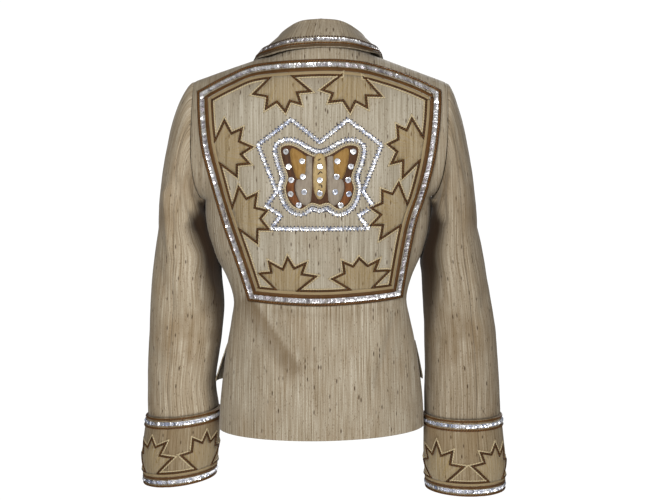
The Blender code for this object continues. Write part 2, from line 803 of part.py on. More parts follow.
# The outline a distance inside itself, without the points that its corners swallow
def inset_outline(outline, distance):
    moved = move_outline(outline, distance)
    return [point for point in moved if edge_distance(outline, *point) > distance * INSET_SHARE]


def unit(x, y):
    length = math.hypot(x, y)
    return (x / length, y / length)


def area_of(outline):
    total = 0.0
    for index, point in enumerate(outline):
        before = outline[index - 1]
        total += before[0] * point[1] - point[0] * before[1]
    return total / 2


def anticlockwise(outline):
    return outline if area_of(outline) > 0 else list(reversed(outline))


def is_inside(outline, x, y):
    inside = False
    for index, point in enumerate(outline):
        before = outline[index - 1]
        if (point[1] > y) != (before[1] > y):
            cross_x = (before[0] - point[0]) * (y - point[1]) / (before[1] - point[1]) + point[0]
            if x < cross_x:
                inside = not inside
    return inside


def edge_distance(outline, x, y):
    best = 1.0
    for index, point in enumerate(outline):
        before = outline[index - 1]
        along = (point[0] - before[0], point[1] - before[1])
        length_squared = along[0] ** 2 + along[1] ** 2
        share = ((x - before[0]) * along[0] + (y - before[1]) * along[1]) / length_squared
        share = min(max(share, 0.0), 1.0)
        best = min(best, math.hypot(x - before[0] - share * along[0], y - before[1] - share * along[1]))
    return best


# Candidate points that lie well inside an outline
def points_inside(outline, candidates):
    inside = [(x, y) for x, y in candidates if is_inside(outline, x, y)]
    return [(x, y) for x, y in inside if edge_distance(outline, x, y) > RIM_MARGIN]


# A flat-cut piece laid on a surface: place(x, y, lift) gives its points
def laid_piece(name, outline, candidates, place, lift, wall, material):
    outline = anticlockwise(outline)
    flat = [Vector(point) for point in outline + points_inside(outline, candidates)]
    rim = list(range(len(outline)))
    result = delaunay_2d_cdt(flat, [], [rim], 1, 1e-7)
    flat_points = [tuple(point) for point in result[0]]
    triangles = [tuple(face) for face in result[2]]
    origin = result[3]
    order = {source: index for index, sources in enumerate(origin) for source in sources}
    rim = [order[index] for index in rim]
    count = len(flat_points)
    vertices = [place(x, y, lift + wall) for x, y in flat_points]
    vertices += [place(x, y, lift) for x, y in flat_points]
    faces = []
    for a, b, c in triangles:
        faces.append((a, b, c))
        faces.append((c + count, b + count, a + count))
    for index, start in enumerate(rim):
        end = rim[(index + 1) % len(rim)]
        faces.append((end, start, start + count, end + count))
    return make_object(name, vertices, faces, material)


# A closed ribbon a distance inside an outline, by its middle line and half width
def laid_ribbon(name, outline, distance, half_width, place, lift, wall, material):
    middle = inset_outline(anticlockwise(outline), distance)
    outside = move_outline(middle, -half_width)
    inside = move_outline(middle, half_width)
    count = len(middle)
    vertices = []
    for ring, height in ((outside, lift), (outside, lift + wall), (inside, lift + wall), (inside, lift)):
        vertices += [place(x, y, height) for x, y in ring]
    faces = []
    for index in range(count):
        after = (index + 1) % count
        for ring in range(4):
            start = ring * count
            beyond = (ring + 1) % 4 * count
            faces.append((start + index, start + after, beyond + after, beyond + index))
    return make_object(name, vertices, faces, material)


# A piece cut to an outline seen from behind or in front, laid on the body
def lay_on_body(face, name, outline, lift, wall, material):
    flat = to_plane(face, densify(outline, OUTLINE_STEP))

    def place(a, b, height):
        return from_plane(face, a, b, height)

    laid_piece(name, flat, plane_grid(face), place, lift, wall, material)


def on_back(x, z, lift):
    return on_body(1, x, z, lift)


def on_front(x, z, lift):
    return on_body(-1, x, z, lift)


# The panel's outline, one run of points for each edge
def panel_runs():
    runs = []
    for index, edge in enumerate(PANEL_EDGES):
        ends = PANEL_EDGES[(index + 1) % len(PANEL_EDGES)][0]
        points = list(edge) + [ends]
        runs.append(smooth_run(points, RUN_SPLITS))
    return runs


def panel_outline():
    points = []
    for run in panel_runs():
        points += even_run(run)
    return anticlockwise(densify(points, OUTLINE_STEP * PANEL_STEPS))


# Every run keeps its corner and takes points a step apart after it
def even_run(run):
    points = [run[0]]
    for point in run[1:]:
        if math.hypot(point[0] - points[-1][0], point[1] - points[-1][1]) >= OUTLINE_STEP * RUN_STEPS:
            points.append(point)
    return points


# Half-outline of a leaf about its axis: across, and up from its base
def leaf_half():
    points = [(LEAF_BASE_HALF, 0.0)]
    for row in LEAF_POINTS:
        leaf = dict(zip(LEAF_COLUMNS, row))
        angle = math.radians(leaf["angle_deg"])
        points.append((leaf["reach"] * math.sin(angle), LEAF_HEART + leaf["reach"] * math.cos(angle)))
    return points


def leaf_outline(wide=1.0, high=1.0):
    half = leaf_half()
    points = half + [(-x, y) for x, y in reversed(half[:-1])]
    return [(x * wide, y * high) for x, y in points]


# Middle of a leaf's base on the inner cord line, with the directions along the edge and into the panel
def leaf_frame(edge, share):
    inner = inset_outline(panel_outline(), INNER_CORD_INSET)
    corners = [nearest_index(inner, PANEL_EDGES[index][0]) for index in range(4)]
    points = run_between(inner, corners[edge], corners[(edge + 1) % 4])
    lengths = [0.0]
    for before, after in zip(points, points[1:]):
        lengths.append(lengths[-1] + math.hypot(after[0] - before[0], after[1] - before[1]))
    target = share * lengths[-1]
    for index in range(len(points) - 1):
        if lengths[index + 1] >= target:
            break
    part = (target - lengths[index]) / (lengths[index + 1] - lengths[index])
    before, after = points[index], points[index + 1]
    middle = (mix(before[0], after[0], part), mix(before[1], after[1], part))
    ahead = points_at(points, lengths, target + LEAF_REACH)
    behind = points_at(points, lengths, target - LEAF_REACH)
    along = unit(ahead[0] - behind[0], ahead[1] - behind[1])
    inward = (-along[1], along[0])
    if (0.0 - middle[0]) * inward[0] + (BUTTERFLY_MIDDLE[1] - middle[1]) * inward[1] < 0:
        inward = (-inward[0], -inward[1])
    return middle, along, inward


def points_at(points, lengths, target):
    target = min(max(target, 0.0), lengths[-1])
    for index in range(len(points) - 1):
        if lengths[index + 1] >= target:
            break
    part = (target - lengths[index]) / (lengths[index + 1] - lengths[index])
    before = points[index]
    after = points[index + 1]
    return (mix(before[0], after[0], part), mix(before[1], after[1], part))


def nearest_index(points, target):
    distances = [math.hypot(x - target[0], y - target[1]) for x, y in points]
    return distances.index(min(distances))


# Points of a closed outline from one index to another, the short way
def run_between(points, start, end):
    count = len(points)
    ahead = (end - start) % count
    if ahead <= count / 2:
        return [points[(start + step) % count] for step in range(ahead + 1)]
    return [points[(start - step) % count] for step in range((start - end) % count + 1)]


def placed_leaf(frame, outline):
    middle, along, inward = frame
    placed = []
    for x, y in outline:
        placed.append((middle[0] + x * along[0] + y * inward[0], middle[1] + x * along[1] + y * inward[1]))
    return placed


def build_panel(materials):
    outline = panel_outline()
    top = PANEL_LIFT + PANEL_WALL
    lay_on_body(1, "back_panel", outline, PANEL_LIFT, PANEL_WALL, materials["panel_tweed"])
    lift = top + LAYER_GAP + PANEL_EASE
    cord = materials["dark_cord"]
    half = CORD_HALF_WIDTH
    band_half = (BORDER_BAND_INNER - BORDER_BAND_OUTER) / 2
    band_middle = (BORDER_BAND_INNER + BORDER_BAND_OUTER) / 2
    laid_ribbon("border_cord", outline, BORDER_CORD_INSET, half, on_back, lift, CORD_HEIGHT, cord)
    band = materials["dark_band"]
    laid_ribbon("border_band", outline, band_middle, band_half, on_back, lift, LEAF_WALL, band)
    laid_ribbon("inner_cord", outline, INNER_CORD_INSET, half, on_back, lift, CORD_HEIGHT, cord)
    shape = [(x, y + LEAF_INSET) for x, y in leaf_outline()]
    for number, (edge, share) in enumerate(LEAF_PLACES, start=1):
        leaf = placed_leaf(leaf_frame(edge, share), shape)
        lay_on_body(1, f"leaf_{number}", leaf, lift, LEAF_WALL, materials["leaf_cloth"])
    build_butterfly(lift, materials)


def whole_outline(half, middle):
    right = smooth_run([(x, y) for x, y in half], 2) + [half[-1]]
    left = [(-x, y) for x, y in reversed(right[1:-1])]
    return [(middle[0] + x, middle[1] + y) for x, y in right + left]


def build_butterfly(lift, materials):
    wings = whole_outline(WING_HALF, BUTTERFLY_MIDDLE)
    lay_on_body(1, "butterfly_wings", wings, lift, LEAF_WALL, materials["wing_cloth"])
    body = whole_outline(BODY_HALF, BUTTERFLY_MIDDLE)
    body_lift = lift + LEAF_WALL + LAYER_GAP
    lay_on_body(1, "butterfly_body", body, body_lift, LEAF_WALL, materials["body_cloth"])


def build_cuff_leaves(side_name, side, materials):
    outline = densify(leaf_outline(CUFF_LEAF_WIDE, CUFF_LEAF_HIGH), OUTLINE_STEP)
    step = LEAF_GRID
    candidates = [(x * step, y * step) for x in range(-4, 5) for y in range(6)]
    length = cuff_length(side_name)
    rows = CUFF_SECTIONS[side_name]
    radius = (rows[1][1] - rows[1][2]) / 4 + rows[1][4] / 2
    for number in range(CUFF_LEAVES):
        middle = CUFF_LEAF_TURN + 360.0 * number / CUFF_LEAVES

        def place(x, y, lift, middle=middle):
            turn = middle - side * math.degrees(x / radius)
            return on_cuff(side_name, side, turn, length - CUFF_LEAF_BASE - y, lift)

        name = f"cuff_leaf_{number + 1}_{side_name}"
        laid_piece(name, outline, candidates, place, LAYER_GAP, LEAF_WALL, materials["leaf_cloth"])


# Collar section: q runs 0 to 1 from the neck seam over the fold to the free edge
def collar_point(u, q):
    side = 1 if u >= 0 else -1

    def read(name):
        return table_value(COLLAR_STATIONS, COLLAR_COLUMNS, name, abs(u))

    def read_point(name):
        return Vector((side * read(name + "_x"), read(name + "_y"), read(name + "_z")))

    seam = read_point("seam")
    fold = read_point("fold")
    edge = read_point("edge")
    outward = Vector((edge.x - seam.x, edge.y - seam.y, 0.0)).normalized()
    inside = fold - outward * FOLD_RADIUS - Vector((0.0, 0.0, FOLD_RADIUS))
    outside = fold + outward * FOLD_RADIUS - Vector((0.0, 0.0, FOLD_RADIUS))
    if q < FOLD_START:
        return seam.lerp(inside, q / FOLD_START)
    if q > FOLD_END:
        share = (q - FOLD_END) / (1.0 - FOLD_END)
        bulge = outward * FALL_BULGE * math.sin(math.pi * share)
        return outside.lerp(edge, share) + bulge
    turn = math.pi * (q - FOLD_START) / (FOLD_END - FOLD_START)
    centre = fold - Vector((0.0, 0.0, FOLD_RADIUS))
    upward = Vector((0.0, 0.0, FOLD_RADIUS * math.sin(turn)))
    return centre - outward * FOLD_RADIUS * math.cos(turn) + upward


def collar_normal(u, q):
    q = min(max(q, NUDGE), 1.0 - NUDGE)
    return surface_normal(collar_point, u, q)


def build_collar(materials):
    us = spread(-1.0, 1.0, COLLAR_COLUMNS_COUNT)
    cloth_wall("collar", collar_point, collar_normal, us, COLLAR_ROWS, WALL, materials["tweed"])


def build_lapel(side_name, side, materials):
    outline = [(side * x, z) for x, z in LAPEL_OUTLINE]
    lift = LAYER_GAP if side > 0 else LAYER_GAP + FRONT_OVER_LIFT
    lay_on_body(-1, f"lapel_{side_name}", outline, lift, WALL, materials["tweed"])


# Flap hanging from its top edge, standing out more toward its lower back corner
def build_flap(side_name, side, materials):
    top = (FLAP_TOP_Z - HEM_Z) / (UNDERARM_Z - HEM_Z)
    bottom = (FLAP_TOP_Z - FLAP_LENGTH - HEM_Z) / (UNDERARM_Z - HEM_Z)
    shares = [side * share for share in spread(FLAP_START, FLAP_END, FLAP_COLUMNS)]
    outer = []
    inner = []
    for row in range(FLAP_ROWS + 1):
        down = 1.0 - row / FLAP_ROWS
        level = mix(top, bottom, down)
        outer_row = []
        inner_row = []
        for share in shares:
            backward = smooth_step(FLAP_START, FLAP_END, abs(share))
            flare = FLAP_FLARE[side_name] * down * mix(FLAP_FRONT_FLARE, 1.0, backward)
            lift = LAYER_GAP + WALL + FLAP_EASE + flare
            point = body_point(-1, share, level)
            normal = body_normal(-1, share, level)
            outer_row.append(point + normal * lift)
            inner_row.append(point + normal * (lift - WALL))
        outer.append(outer_row)
        inner.append(inner_row)
    grid_solid(f"pocket_flap_{side_name}", outer, inner, False, materials["tweed"])


# Button turned from a profile: a disc with the shank it is sewn on by, each on a row of the front's cloth
def build_buttons(materials):
    profile = (
        (0.0, BUTTON_THICKNESS),
        (BUTTON_RADIUS, BUTTON_THICKNESS),
        (BUTTON_RADIUS, 0.0),
        (BUTTON_SHANK_RADIUS, 0.0),
        (BUTTON_SHANK_RADIUS, -BUTTON_SHANK),
        (0.0, -BUTTON_SHANK),
    )
    mesh = bpy.data.meshes.new("button")
    mesh.from_pydata([(r, 0.0, z) for r, z in profile], [(i, i + 1) for i in range(len(profile) - 1)], [])
    mesh.materials.append(materials["button"])
    for number, row in enumerate(BUTTON_ROWS, start=1):
        share = share_at(-1, 0.0, row / LOWER_ROWS)
        seat = body_point(-1, share, row / LOWER_ROWS)
        normal = body_normal(-1, share, row / LOWER_ROWS)
        button = bpy.data.objects.new(f"button_{number}", mesh)
        button.location = seat + normal * (FRONT_OVER_LIFT + BUTTON_SEAT + BUTTON_SHANK)
        button.rotation_euler = normal.to_track_quat("Z", "Y").to_euler()
        screw = button.modifiers.new("turn", "SCREW")
        screw.steps = BUTTON_SIDES
        screw.render_steps = BUTTON_SIDES
        screw.use_merge_vertices = True
        screw.merge_threshold = 0.0001
        bpy.context.scene.collection.children["embellished_jacket"].objects.link(button)


def main():
    clear_scene()
    collection = bpy.data.collections.new("embellished_jacket")
    bpy.context.scene.collection.children.link(collection)
    materials = {name: make_material(name) for name in COLOURS}
    build_back(materials)
    for side_name, side in SIDES:
        build_front(f"front_{side_name}", side, materials)
        build_sleeve(side_name, side, materials)
        build_cuff(side_name, side, materials)
        build_cuff_leaves(side_name, side, materials)
        build_lapel(side_name, side, materials)
        build_flap(side_name, side, materials)
    build_collar(materials)
    build_panel(materials)
    build_buttons(materials)


main()
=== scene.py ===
import functools
import math
import random

import bpy
from mathutils import Matrix, Vector, kdtree, noise
from mathutils.geometry import delaunay_2d_cdt


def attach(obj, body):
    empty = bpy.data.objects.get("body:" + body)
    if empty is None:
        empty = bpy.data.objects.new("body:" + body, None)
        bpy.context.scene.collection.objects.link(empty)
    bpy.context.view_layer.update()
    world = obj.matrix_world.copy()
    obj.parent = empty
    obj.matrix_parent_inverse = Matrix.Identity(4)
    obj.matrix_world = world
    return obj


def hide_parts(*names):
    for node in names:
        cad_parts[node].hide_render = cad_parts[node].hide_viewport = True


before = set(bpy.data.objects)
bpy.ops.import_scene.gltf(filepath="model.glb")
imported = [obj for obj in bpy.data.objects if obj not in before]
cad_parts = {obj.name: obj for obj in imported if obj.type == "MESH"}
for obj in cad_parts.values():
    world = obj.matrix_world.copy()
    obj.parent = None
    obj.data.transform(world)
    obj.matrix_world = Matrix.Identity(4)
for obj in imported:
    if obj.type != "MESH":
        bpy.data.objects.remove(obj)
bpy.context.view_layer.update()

print("frame loaded,", len(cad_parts), "nodes")

# Metres. The back faces +Y, the fronts face -Y, and the wearer's left is +X.
bothSides = (("Left", 1), ("Right", -1))
cloth = {
    "wall": 0.0017, "panelLift": 0.0019, "panelWall": 0.0011, "trimWall": 0.0019, "collarWall": 0.0021,
    "seamRoll": 0.0009, "seamWidth": 0.0026, "seamReach": 0.012, "rollWidth": 0.0022, "domeWidth": 0.010,
    "slowWaves": 16.0, "quickWaves": 47.0, "quickShare": 0.35,
}

# The jacket's sizes, close to those of the solids. The folds of the back fade out from foldEnd to foldTop.
body = {
    "hemZ": -0.590, "underarmZ": -0.225, "yokeZ": -0.100, "neckHalf": 0.078, "napeDepth": 0.060, "napeRise": 0.018,
    "tipHalf": 0.1975, "tipZ": -0.0430, "napeSlope": 60.0, "neckRoundness": 0.75,
    "tilt": -0.016, "shoulderTilt": 0.020, "shoulderLow": -0.190, "lean": 0.005, "leanZ": -0.240, "leanSpread": 0.150,
    "armholeDepth": {1: 0.062, -1: 0.056}, "armholeHalf": {1: 0.197, -1: 0.184},
    "foldEnd": -0.408, "foldTop": -0.388,
}
tables = {
    "body": (("z", "halfWidth", "back", "front"), (
        (-0.590, 0.1650, 0.112, 0.112), (-0.540, 0.1615, 0.108, 0.108), (-0.490, 0.1555, 0.099, 0.102),
        (-0.450, 0.1490, 0.090, 0.097), (-0.415, 0.1420, 0.083, 0.094), (-0.385, 0.1375, 0.080, 0.094),
        (-0.350, 0.1465, 0.082, 0.101), (-0.310, 0.1655, 0.090, 0.113), (-0.270, 0.1765, 0.098, 0.121),
        (-0.225, 0.1780, 0.104, 0.118), (-0.160, 0.1715, 0.107, 0.104), (-0.100, 0.1715, 0.104, 0.088))),
    "sleeveLeft": (("z", "outer", "inner", "middle", "halfDepth", "rise"), (
        (-0.270, 0.2575, 0.1755, -0.001, 0.066, 0.000), (-0.310, 0.2640, 0.1600, -0.003, 0.065, 0.000),
        (-0.350, 0.2695, 0.1585, -0.005, 0.063, 0.000), (-0.390, 0.2730, 0.1550, -0.007, 0.061, 0.000),
        (-0.440, 0.2755, 0.1590, -0.011, 0.059, 0.000), (-0.490, 0.2790, 0.1665, -0.016, 0.057, 0.002),
        (-0.530, 0.2810, 0.1710, -0.020, 0.056, 0.006), (-0.577, 0.2820, 0.1665, -0.025, 0.056, 0.012))),
    "sleeveRight": (("z", "outer", "inner", "middle", "halfDepth", "rise"), (
        (-0.270, 0.2460, 0.1650, -0.001, 0.065, 0.000), (-0.310, 0.2560, 0.1550, -0.003, 0.064, 0.000),
        (-0.350, 0.2635, 0.1600, -0.005, 0.062, 0.000), (-0.390, 0.2705, 0.1620, -0.007, 0.060, 0.000),
        (-0.440, 0.2790, 0.1640, -0.011, 0.059, 0.000), (-0.490, 0.2840, 0.1655, -0.016, 0.058, 0.000),
        (-0.530, 0.2875, 0.1660, -0.020, 0.058, 0.001), (-0.576, 0.2895, 0.1665, -0.025, 0.058, 0.001))),
    "cuffLeft": (("z", "outer", "inner", "middle", "halfDepth", "rise"), (
        (-0.577, 0.2830, 0.1655, -0.025, 0.0575, 0.012), (-0.610, 0.2890, 0.1660, -0.028, 0.0590, 0.013),
        (-0.655, 0.2930, 0.1690, -0.031, 0.0600, 0.014), (-0.692, 0.2900, 0.1740, -0.033, 0.0595, 0.014))),
    "cuffRight": (("z", "outer", "inner", "middle", "halfDepth", "rise"), (
        (-0.576, 0.2905, 0.1660, -0.025, 0.0590, 0.001), (-0.610, 0.2950, 0.1655, -0.028, 0.0605, 0.001),
        (-0.655, 0.3000, 0.1665, -0.031, 0.0615, 0.001), (-0.702, 0.2985, 0.1710, -0.033, 0.0610, 0.002))),
    "collar": (("u", "seamX", "seamY", "seamZ", "foldX", "foldY", "foldZ", "edgeX", "edgeY", "edgeZ"), (
        (0.00, 0.0000, 0.0600, 0.0190, 0.0000, 0.0490, 0.0530, 0.0000, 0.0760, 0.0090),
        (0.25, 0.0360, 0.0515, 0.0160, 0.0305, 0.0420, 0.0500, 0.0450, 0.0685, 0.0070),
        (0.50, 0.0640, 0.0290, 0.0085, 0.0535, 0.0200, 0.0390, 0.0790, 0.0420, 0.0010),
        (0.70, 0.0765, 0.0000, 0.0035, 0.0665, -0.0050, 0.0270, 0.0980, 0.0000, -0.0030),
        (0.85, 0.0750, -0.0300, -0.0015, 0.0695, -0.0330, 0.0150, 0.1035, -0.0350, -0.0145),
        (1.00, 0.0670, -0.0600, -0.0205, 0.0650, -0.0630, -0.0110, 0.1020, -0.0700, -0.0430))),
}
sleeve = {
    "fullness": {1: 0.108, -1: 0.054}, "underFullness": 0.032, "pull": 0.22, "underPull": 0.05,
    "out": (0.55, 0.94), "down": (-0.83, -0.34), "sideways": 0.20, "backSeam": 72.0, "frontSeam": -135.0,
    "pressGap": 0.0022, "pressFade": 0.060, "closedZ": -0.229, "closedHeight": 0.010,
    "closedFrom": 0.006, "closedTo": 0.016,
    "hollow": ((-0.220, 170.0, 0.00), (-0.232, 142.0, 0.95), (-0.262, 110.0, 1.00), (-0.330, 116.0, 1.00),
               (-0.390, 130.0, 0.92), (-0.450, 144.0, 0.72), (-0.600, 150.0, 0.55)),
    # The last entry is painted shade over each whole sleeve, more on the right one, which faces away from the key light
    "hollowDepth": 0.016, "hollowEdge": 16.0, "paintedSideShade": {1: 0.05, -1: 0.24},
}
collar = {"sunk": 0.0058, "edgeAside": 0.0055, "edgeTilt": -0.035, "foldRadius": 0.0034, "bulge": 0.0025,
          "foldStart": 0.35, "foldEnd": 0.60}

# Soft folds: from one place to another, width and depth. On the back by x and z, on the sleeves by turn and z.
folds = {
    "back": (
        (0.1160, -0.386, 0.040, -0.487, 0.0100, 0.0036), (0.1040, -0.376, 0.028, -0.474, 0.0080, -0.0040),
        (0.066, -0.470, 0.046, -0.506, 0.014, -0.0030), (-0.1170, -0.405, -0.0855, -0.506, 0.0045, -0.0036),
        (-0.104, -0.410, -0.070, -0.506, 0.012, 0.0030), (0.070, -0.396, -0.048, -0.416, 0.007, -0.0032),
        (0.050, -0.474, 0.036, -0.490, 0.006, -0.0022), (0.052, -0.512, 0.010, -0.520, 0.007, -0.0012),
        (-0.010, -0.430, -0.050, -0.442, 0.008, -0.0010), (0.130, -0.440, 0.110, -0.560, 0.012, -0.0016),
        (-0.128, -0.450, -0.112, -0.570, 0.012, -0.0016),
    ),
    1: (
        (98.0, -0.200, 128.0, -0.262, 0.012, -0.0060),
        (50.0, -0.215, 66.0, -0.300, 0.010, 0.0055), (80.0, -0.205, 100.0, -0.290, 0.013, -0.0085),
        (60.0, -0.250, 128.0, -0.400, 0.012, -0.0040), (80.0, -0.240, 140.0, -0.370, 0.010, 0.0030),
        (40.0, -0.330, 96.0, -0.440, 0.014, -0.0028), (110.0, -0.410, 150.0, -0.450, 0.009, -0.0022),
        (30.0, -0.470, 84.0, -0.500, 0.012, -0.0018), (-40.0, -0.300, -90.0, -0.400, 0.014, -0.0035),
        (-60.0, -0.420, -120.0, -0.470, 0.012, -0.0025), (70.0, -0.500, 86.0, -0.575, 0.010, 0.0014),
    ),
    -1: (
        (126.0, -0.200, 110.0, -0.255, 0.008, -0.0040), (108.0, -0.205, 96.0, -0.300, 0.012, 0.0032),
        (62.0, -0.130, 50.0, -0.190, 0.009, -0.0020), (92.0, -0.270, 80.0, -0.440, 0.014, -0.0030),
        (64.0, -0.300, 60.0, -0.430, 0.012, 0.0022), (40.0, -0.380, 96.0, -0.460, 0.013, -0.0022),
        (110.0, -0.420, 140.0, -0.450, 0.009, -0.0022), (100.0, -0.480, 92.0, -0.570, 0.011, -0.0016),
        (-40.0, -0.300, -90.0, -0.400, 0.014, -0.0035), (-60.0, -0.420, -120.0, -0.470, 0.012, -0.0025),
    ),
}


def mix(start, end, share):
    return start + (end - start) * share


def smoothStep(low, high, value):
    share = min(max((value - low) / (high - low), 0.0), 1.0)
    return share * share * (3.0 - 2.0 * share)


def spread(low, high, count):
    return [mix(low, high, index / count) for index in range(count + 1)]


def unit(x, y):
    length = math.hypot(x, y) or 1.0
    return (x / length, y / length)


def hermite(start, slopeStart, end, slopeEnd, t):
    return (start * (2 * t**3 - 3 * t**2 + 1) + slopeStart * (t**3 - 2 * t**2 + t)
            + end * (3 * t**2 - 2 * t**3) + slopeEnd * (t**3 - t**2))


# One column of a table at a key, on a smooth curve through its rows
@functools.lru_cache(maxsize=200000)
def tableValue(table, name, key):
    columns, rows = tables[table]
    column = columns.index(name)
    rising = rows[-1][0] > rows[0][0]
    low, high = min(rows[0][0], rows[-1][0]), max(rows[0][0], rows[-1][0])
    key = min(max(key, low), high)
    index = 0
    while index < len(rows) - 2 and ((key > rows[index + 1][0]) if rising else (key < rows[index + 1][0])):
        index += 1
    before, start = rows[max(index - 1, 0)], rows[index]
    end, after = rows[index + 1], rows[min(index + 2, len(rows) - 1)]
    step = end[0] - start[0]
    t = (key - start[0]) / step
    slopeStart = (end[column] - before[column]) / (end[0] - before[0]) * step
    slopeEnd = (after[column] - start[column]) / (after[0] - start[0]) * step
    return hermite(start[column], slopeStart, end[column], slopeEnd, t)


def foldsAt(rows, a, b):
    total = 0.0
    for a0, b0, a1, b1, width, depth in rows:
        alongA, alongB = a1 - a0, b1 - b0
        share = ((a - a0) * alongA + (b - b0) * alongB) / (alongA**2 + alongB**2)
        share = min(max(share, 0.0), 1.0)
        away = math.hypot(a - a0 - share * alongA, b - b0 - share * alongB)
        if away < 3 * width:
            total += depth * math.exp(-((away / width) ** 2))
    return total


# Outer face of the body: face 1 is the back and -1 the fronts, share -1 to 1 runs from side to side,
# and level 0 is the hem, 1 the underarm, 2 the shoulder seam
def lowerRow(face, share, level):
    depthName = "back" if face > 0 else "front"
    if level <= 1.0:
        z = mix(body["hemZ"], body["underarmZ"], level)
        angle = share * math.radians(90.0)
        depth = tableValue("body", depthName, z)
        return Vector((tableValue("body", "halfWidth", z) * math.sin(angle), face * depth * math.cos(angle), z))
    turn = math.radians(90.0) * min(level - 1.0, 0.5) * 2
    edgeX = mix(tableValue("body", "halfWidth", body["underarmZ"]), body["armholeHalf"][face], math.sin(turn))
    edgeY = body["armholeDepth"][face] * math.sin(turn)
    edgeZ = mix(body["underarmZ"], (body["underarmZ"] + body["tipZ"]) / 2, 1 - math.cos(turn))
    middleZ = mix(body["underarmZ"], body["yokeZ"], min((level - 1.0) * 2, 1.0))
    depth = tableValue("body", depthName, middleZ)
    reach = math.acos(edgeY / depth)
    x = edgeX * math.sin(share * reach) / math.sin(reach)
    return Vector((x, face * depth * math.cos(share * reach), middleZ + (edgeZ - middleZ) * share**2))


def topLine(face, x):
    across = abs(x)
    if across < body["neckHalf"]:
        inside = 1 - (across / body["neckHalf"]) ** 2
        slope = mix(90.0, body["napeSlope"], inside)
        depth = face * body["napeDepth"] * inside ** body["neckRoundness"]
        return depth, body["napeRise"] * inside, math.radians(slope)
    return 0.0, body["tipZ"] * (across - body["neckHalf"]) / (body["tipHalf"] - body["neckHalf"]), math.radians(90.0)


def bodyPoint(face, share, level):
    if level <= 1.5:
        point = lowerRow(face, share, level)
    else:
        low = lowerRow(face, share, 1.5)
        rise = (level - 1.5) * 2
        topX = low.x * body["tipHalf"] / body["armholeHalf"][face]
        topY, topZ, turn = topLine(face, topX)
        shareY = (math.cos(rise * turn) - math.cos(turn)) / (1 - math.cos(turn))
        shareZ = math.sin(rise * turn) / math.sin(turn)
        x = mix(low.x, topX, smoothStep(0.0, 1.0, rise))
        point = Vector((x, mix(topY, low.y, shareY), mix(low.z, topZ, shareZ)))
    if face > 0:
        fade = 1.0 - smoothStep(body["foldEnd"], body["foldTop"], point.z)
        point.y += foldsAt(folds["back"], point.x, point.z) * fade
    lean = body["lean"] * math.exp(-(((point.z - body["leanZ"]) / body["leanSpread"]) ** 2))
    tilt = body["tilt"] + body["shoulderTilt"] * smoothStep(body["shoulderLow"], body["tipZ"], point.z)
    return Vector((point.x + lean, point.y, point.z + tilt * point.x))


def guessTree(face):
    places = [(share, level) for share in spread(-1.0, 1.0, 40) for level in spread(0.0, 1.99, 48)]
    tree = kdtree.KDTree(len(places))
    for index, (share, level) in enumerate(places):
        point = bodyPoint(face, share, level)
        tree.insert((point.x, 0.0, point.z), index)
    tree.balance()
    return tree, places


guesses = {1: guessTree(1), -1: guessTree(-1)}
nudge = 0.0005


# Point and normal of the body's cloth under a place seen from behind or in front
def onBody(face, x, z, lift=0.0):
    tree, places = guesses[face]
    share, level = places[tree.find((x, 0.0, z))[1]]
    for step in range(4):
        point = bodyPoint(face, share, level)
        aside = (bodyPoint(face, share + nudge, level) - point) / nudge
        above = (bodyPoint(face, share, level + nudge) - point) / nudge
        missX, missZ = x - point.x, z - point.z
        if step == 3 or abs(missX) + abs(missZ) < 1e-6:
            break
        scale = aside.x * above.z - aside.z * above.x
        share = min(max(share + (missX * above.z - missZ * above.x) / scale, -1.0), 1.0)
        level = min(max(level + (missZ * aside.x - missX * aside.z) / scale, 0.0), 1.999)
    normal = aside.cross(above).normalized() * -face
    return point + normal * lift, normal


def ringPoint(table, side, turn, z):
    angle = math.radians(turn)
    outer, inner = tableValue(table, "outer", z), tableValue(table, "inner", z)
    x = (outer + inner) / 2 + (outer - inner) / 2 * math.cos(angle)
    y = tableValue(table, "middle", z) + tableValue(table, "halfDepth", z) * math.sin(angle)
    return Vector((side * x, y, z + tableValue(table, "rise", z) * (1 - math.cos(angle)) / 2))


def armholePoint(side, turn):
    turn = turn % 360.0
    face = 1 if turn <= 180.0 else -1
    down = turn if face > 0 else 360.0 - turn
    return bodyPoint(face, side, 2.0 - down / 180.0)


# A sleeve's inner side, held off the side of the body where the two press together
def heldOff(side, point, stage):
    if not body["hemZ"] < point.z < body["underarmZ"]:
        return point
    depth = tableValue("body", "back" if point.y > 0 else "front", point.z)
    inside = max(1.0 - (point.y / depth) ** 2, 0.0)
    lean = body["lean"] * math.exp(-(((point.z - body["leanZ"]) / body["leanSpread"]) ** 2))
    gap = sleeve["pressGap"] * smoothStep(0.0, 0.25, stage)
    gap *= smoothStep(-body["underarmZ"], -body["underarmZ"] + sleeve["pressFade"], -point.z)
    limit = tableValue("body", "halfWidth", point.z) * math.sqrt(inside) + gap
    away, soft = side * (point.x - lean) - limit, gap * 2.0 + 1e-6
    held = away if away > soft else (away + soft) ** 2 / (4 * soft) if away > -soft else 0.0
    near = math.exp(-(((point.z - sleeve["closedZ"]) / sleeve["closedHeight"]) ** 2))
    held *= 1.0 - near * (1.0 - smoothStep(sleeve["closedFrom"], sleeve["closedTo"], held))
    return Vector((side * (limit + held) + lean, point.y, point.z))


# How far into the hollow against the body a place of the sleeve lies, 0 to 1; the sleeve's painted shade there follows
# it
def hollowAt(turn, z):
    turn = turn % 360.0
    turn = min(turn, 360.0 - turn)
    rows = sleeve["hollow"]
    if z > rows[0][0]:
        return 0.0
    for (highZ, highTurn, highDeep), (lowZ, lowTurn, lowDeep) in zip(rows, rows[1:]):
        if z >= lowZ:
            share = (z - highZ) / (lowZ - highZ)
            edge = mix(highTurn, lowTurn, share)
            soft = sleeve["hollowEdge"]
            return mix(highDeep, lowDeep, share) * smoothStep(edge - soft, edge + soft, turn)
    return 0.0


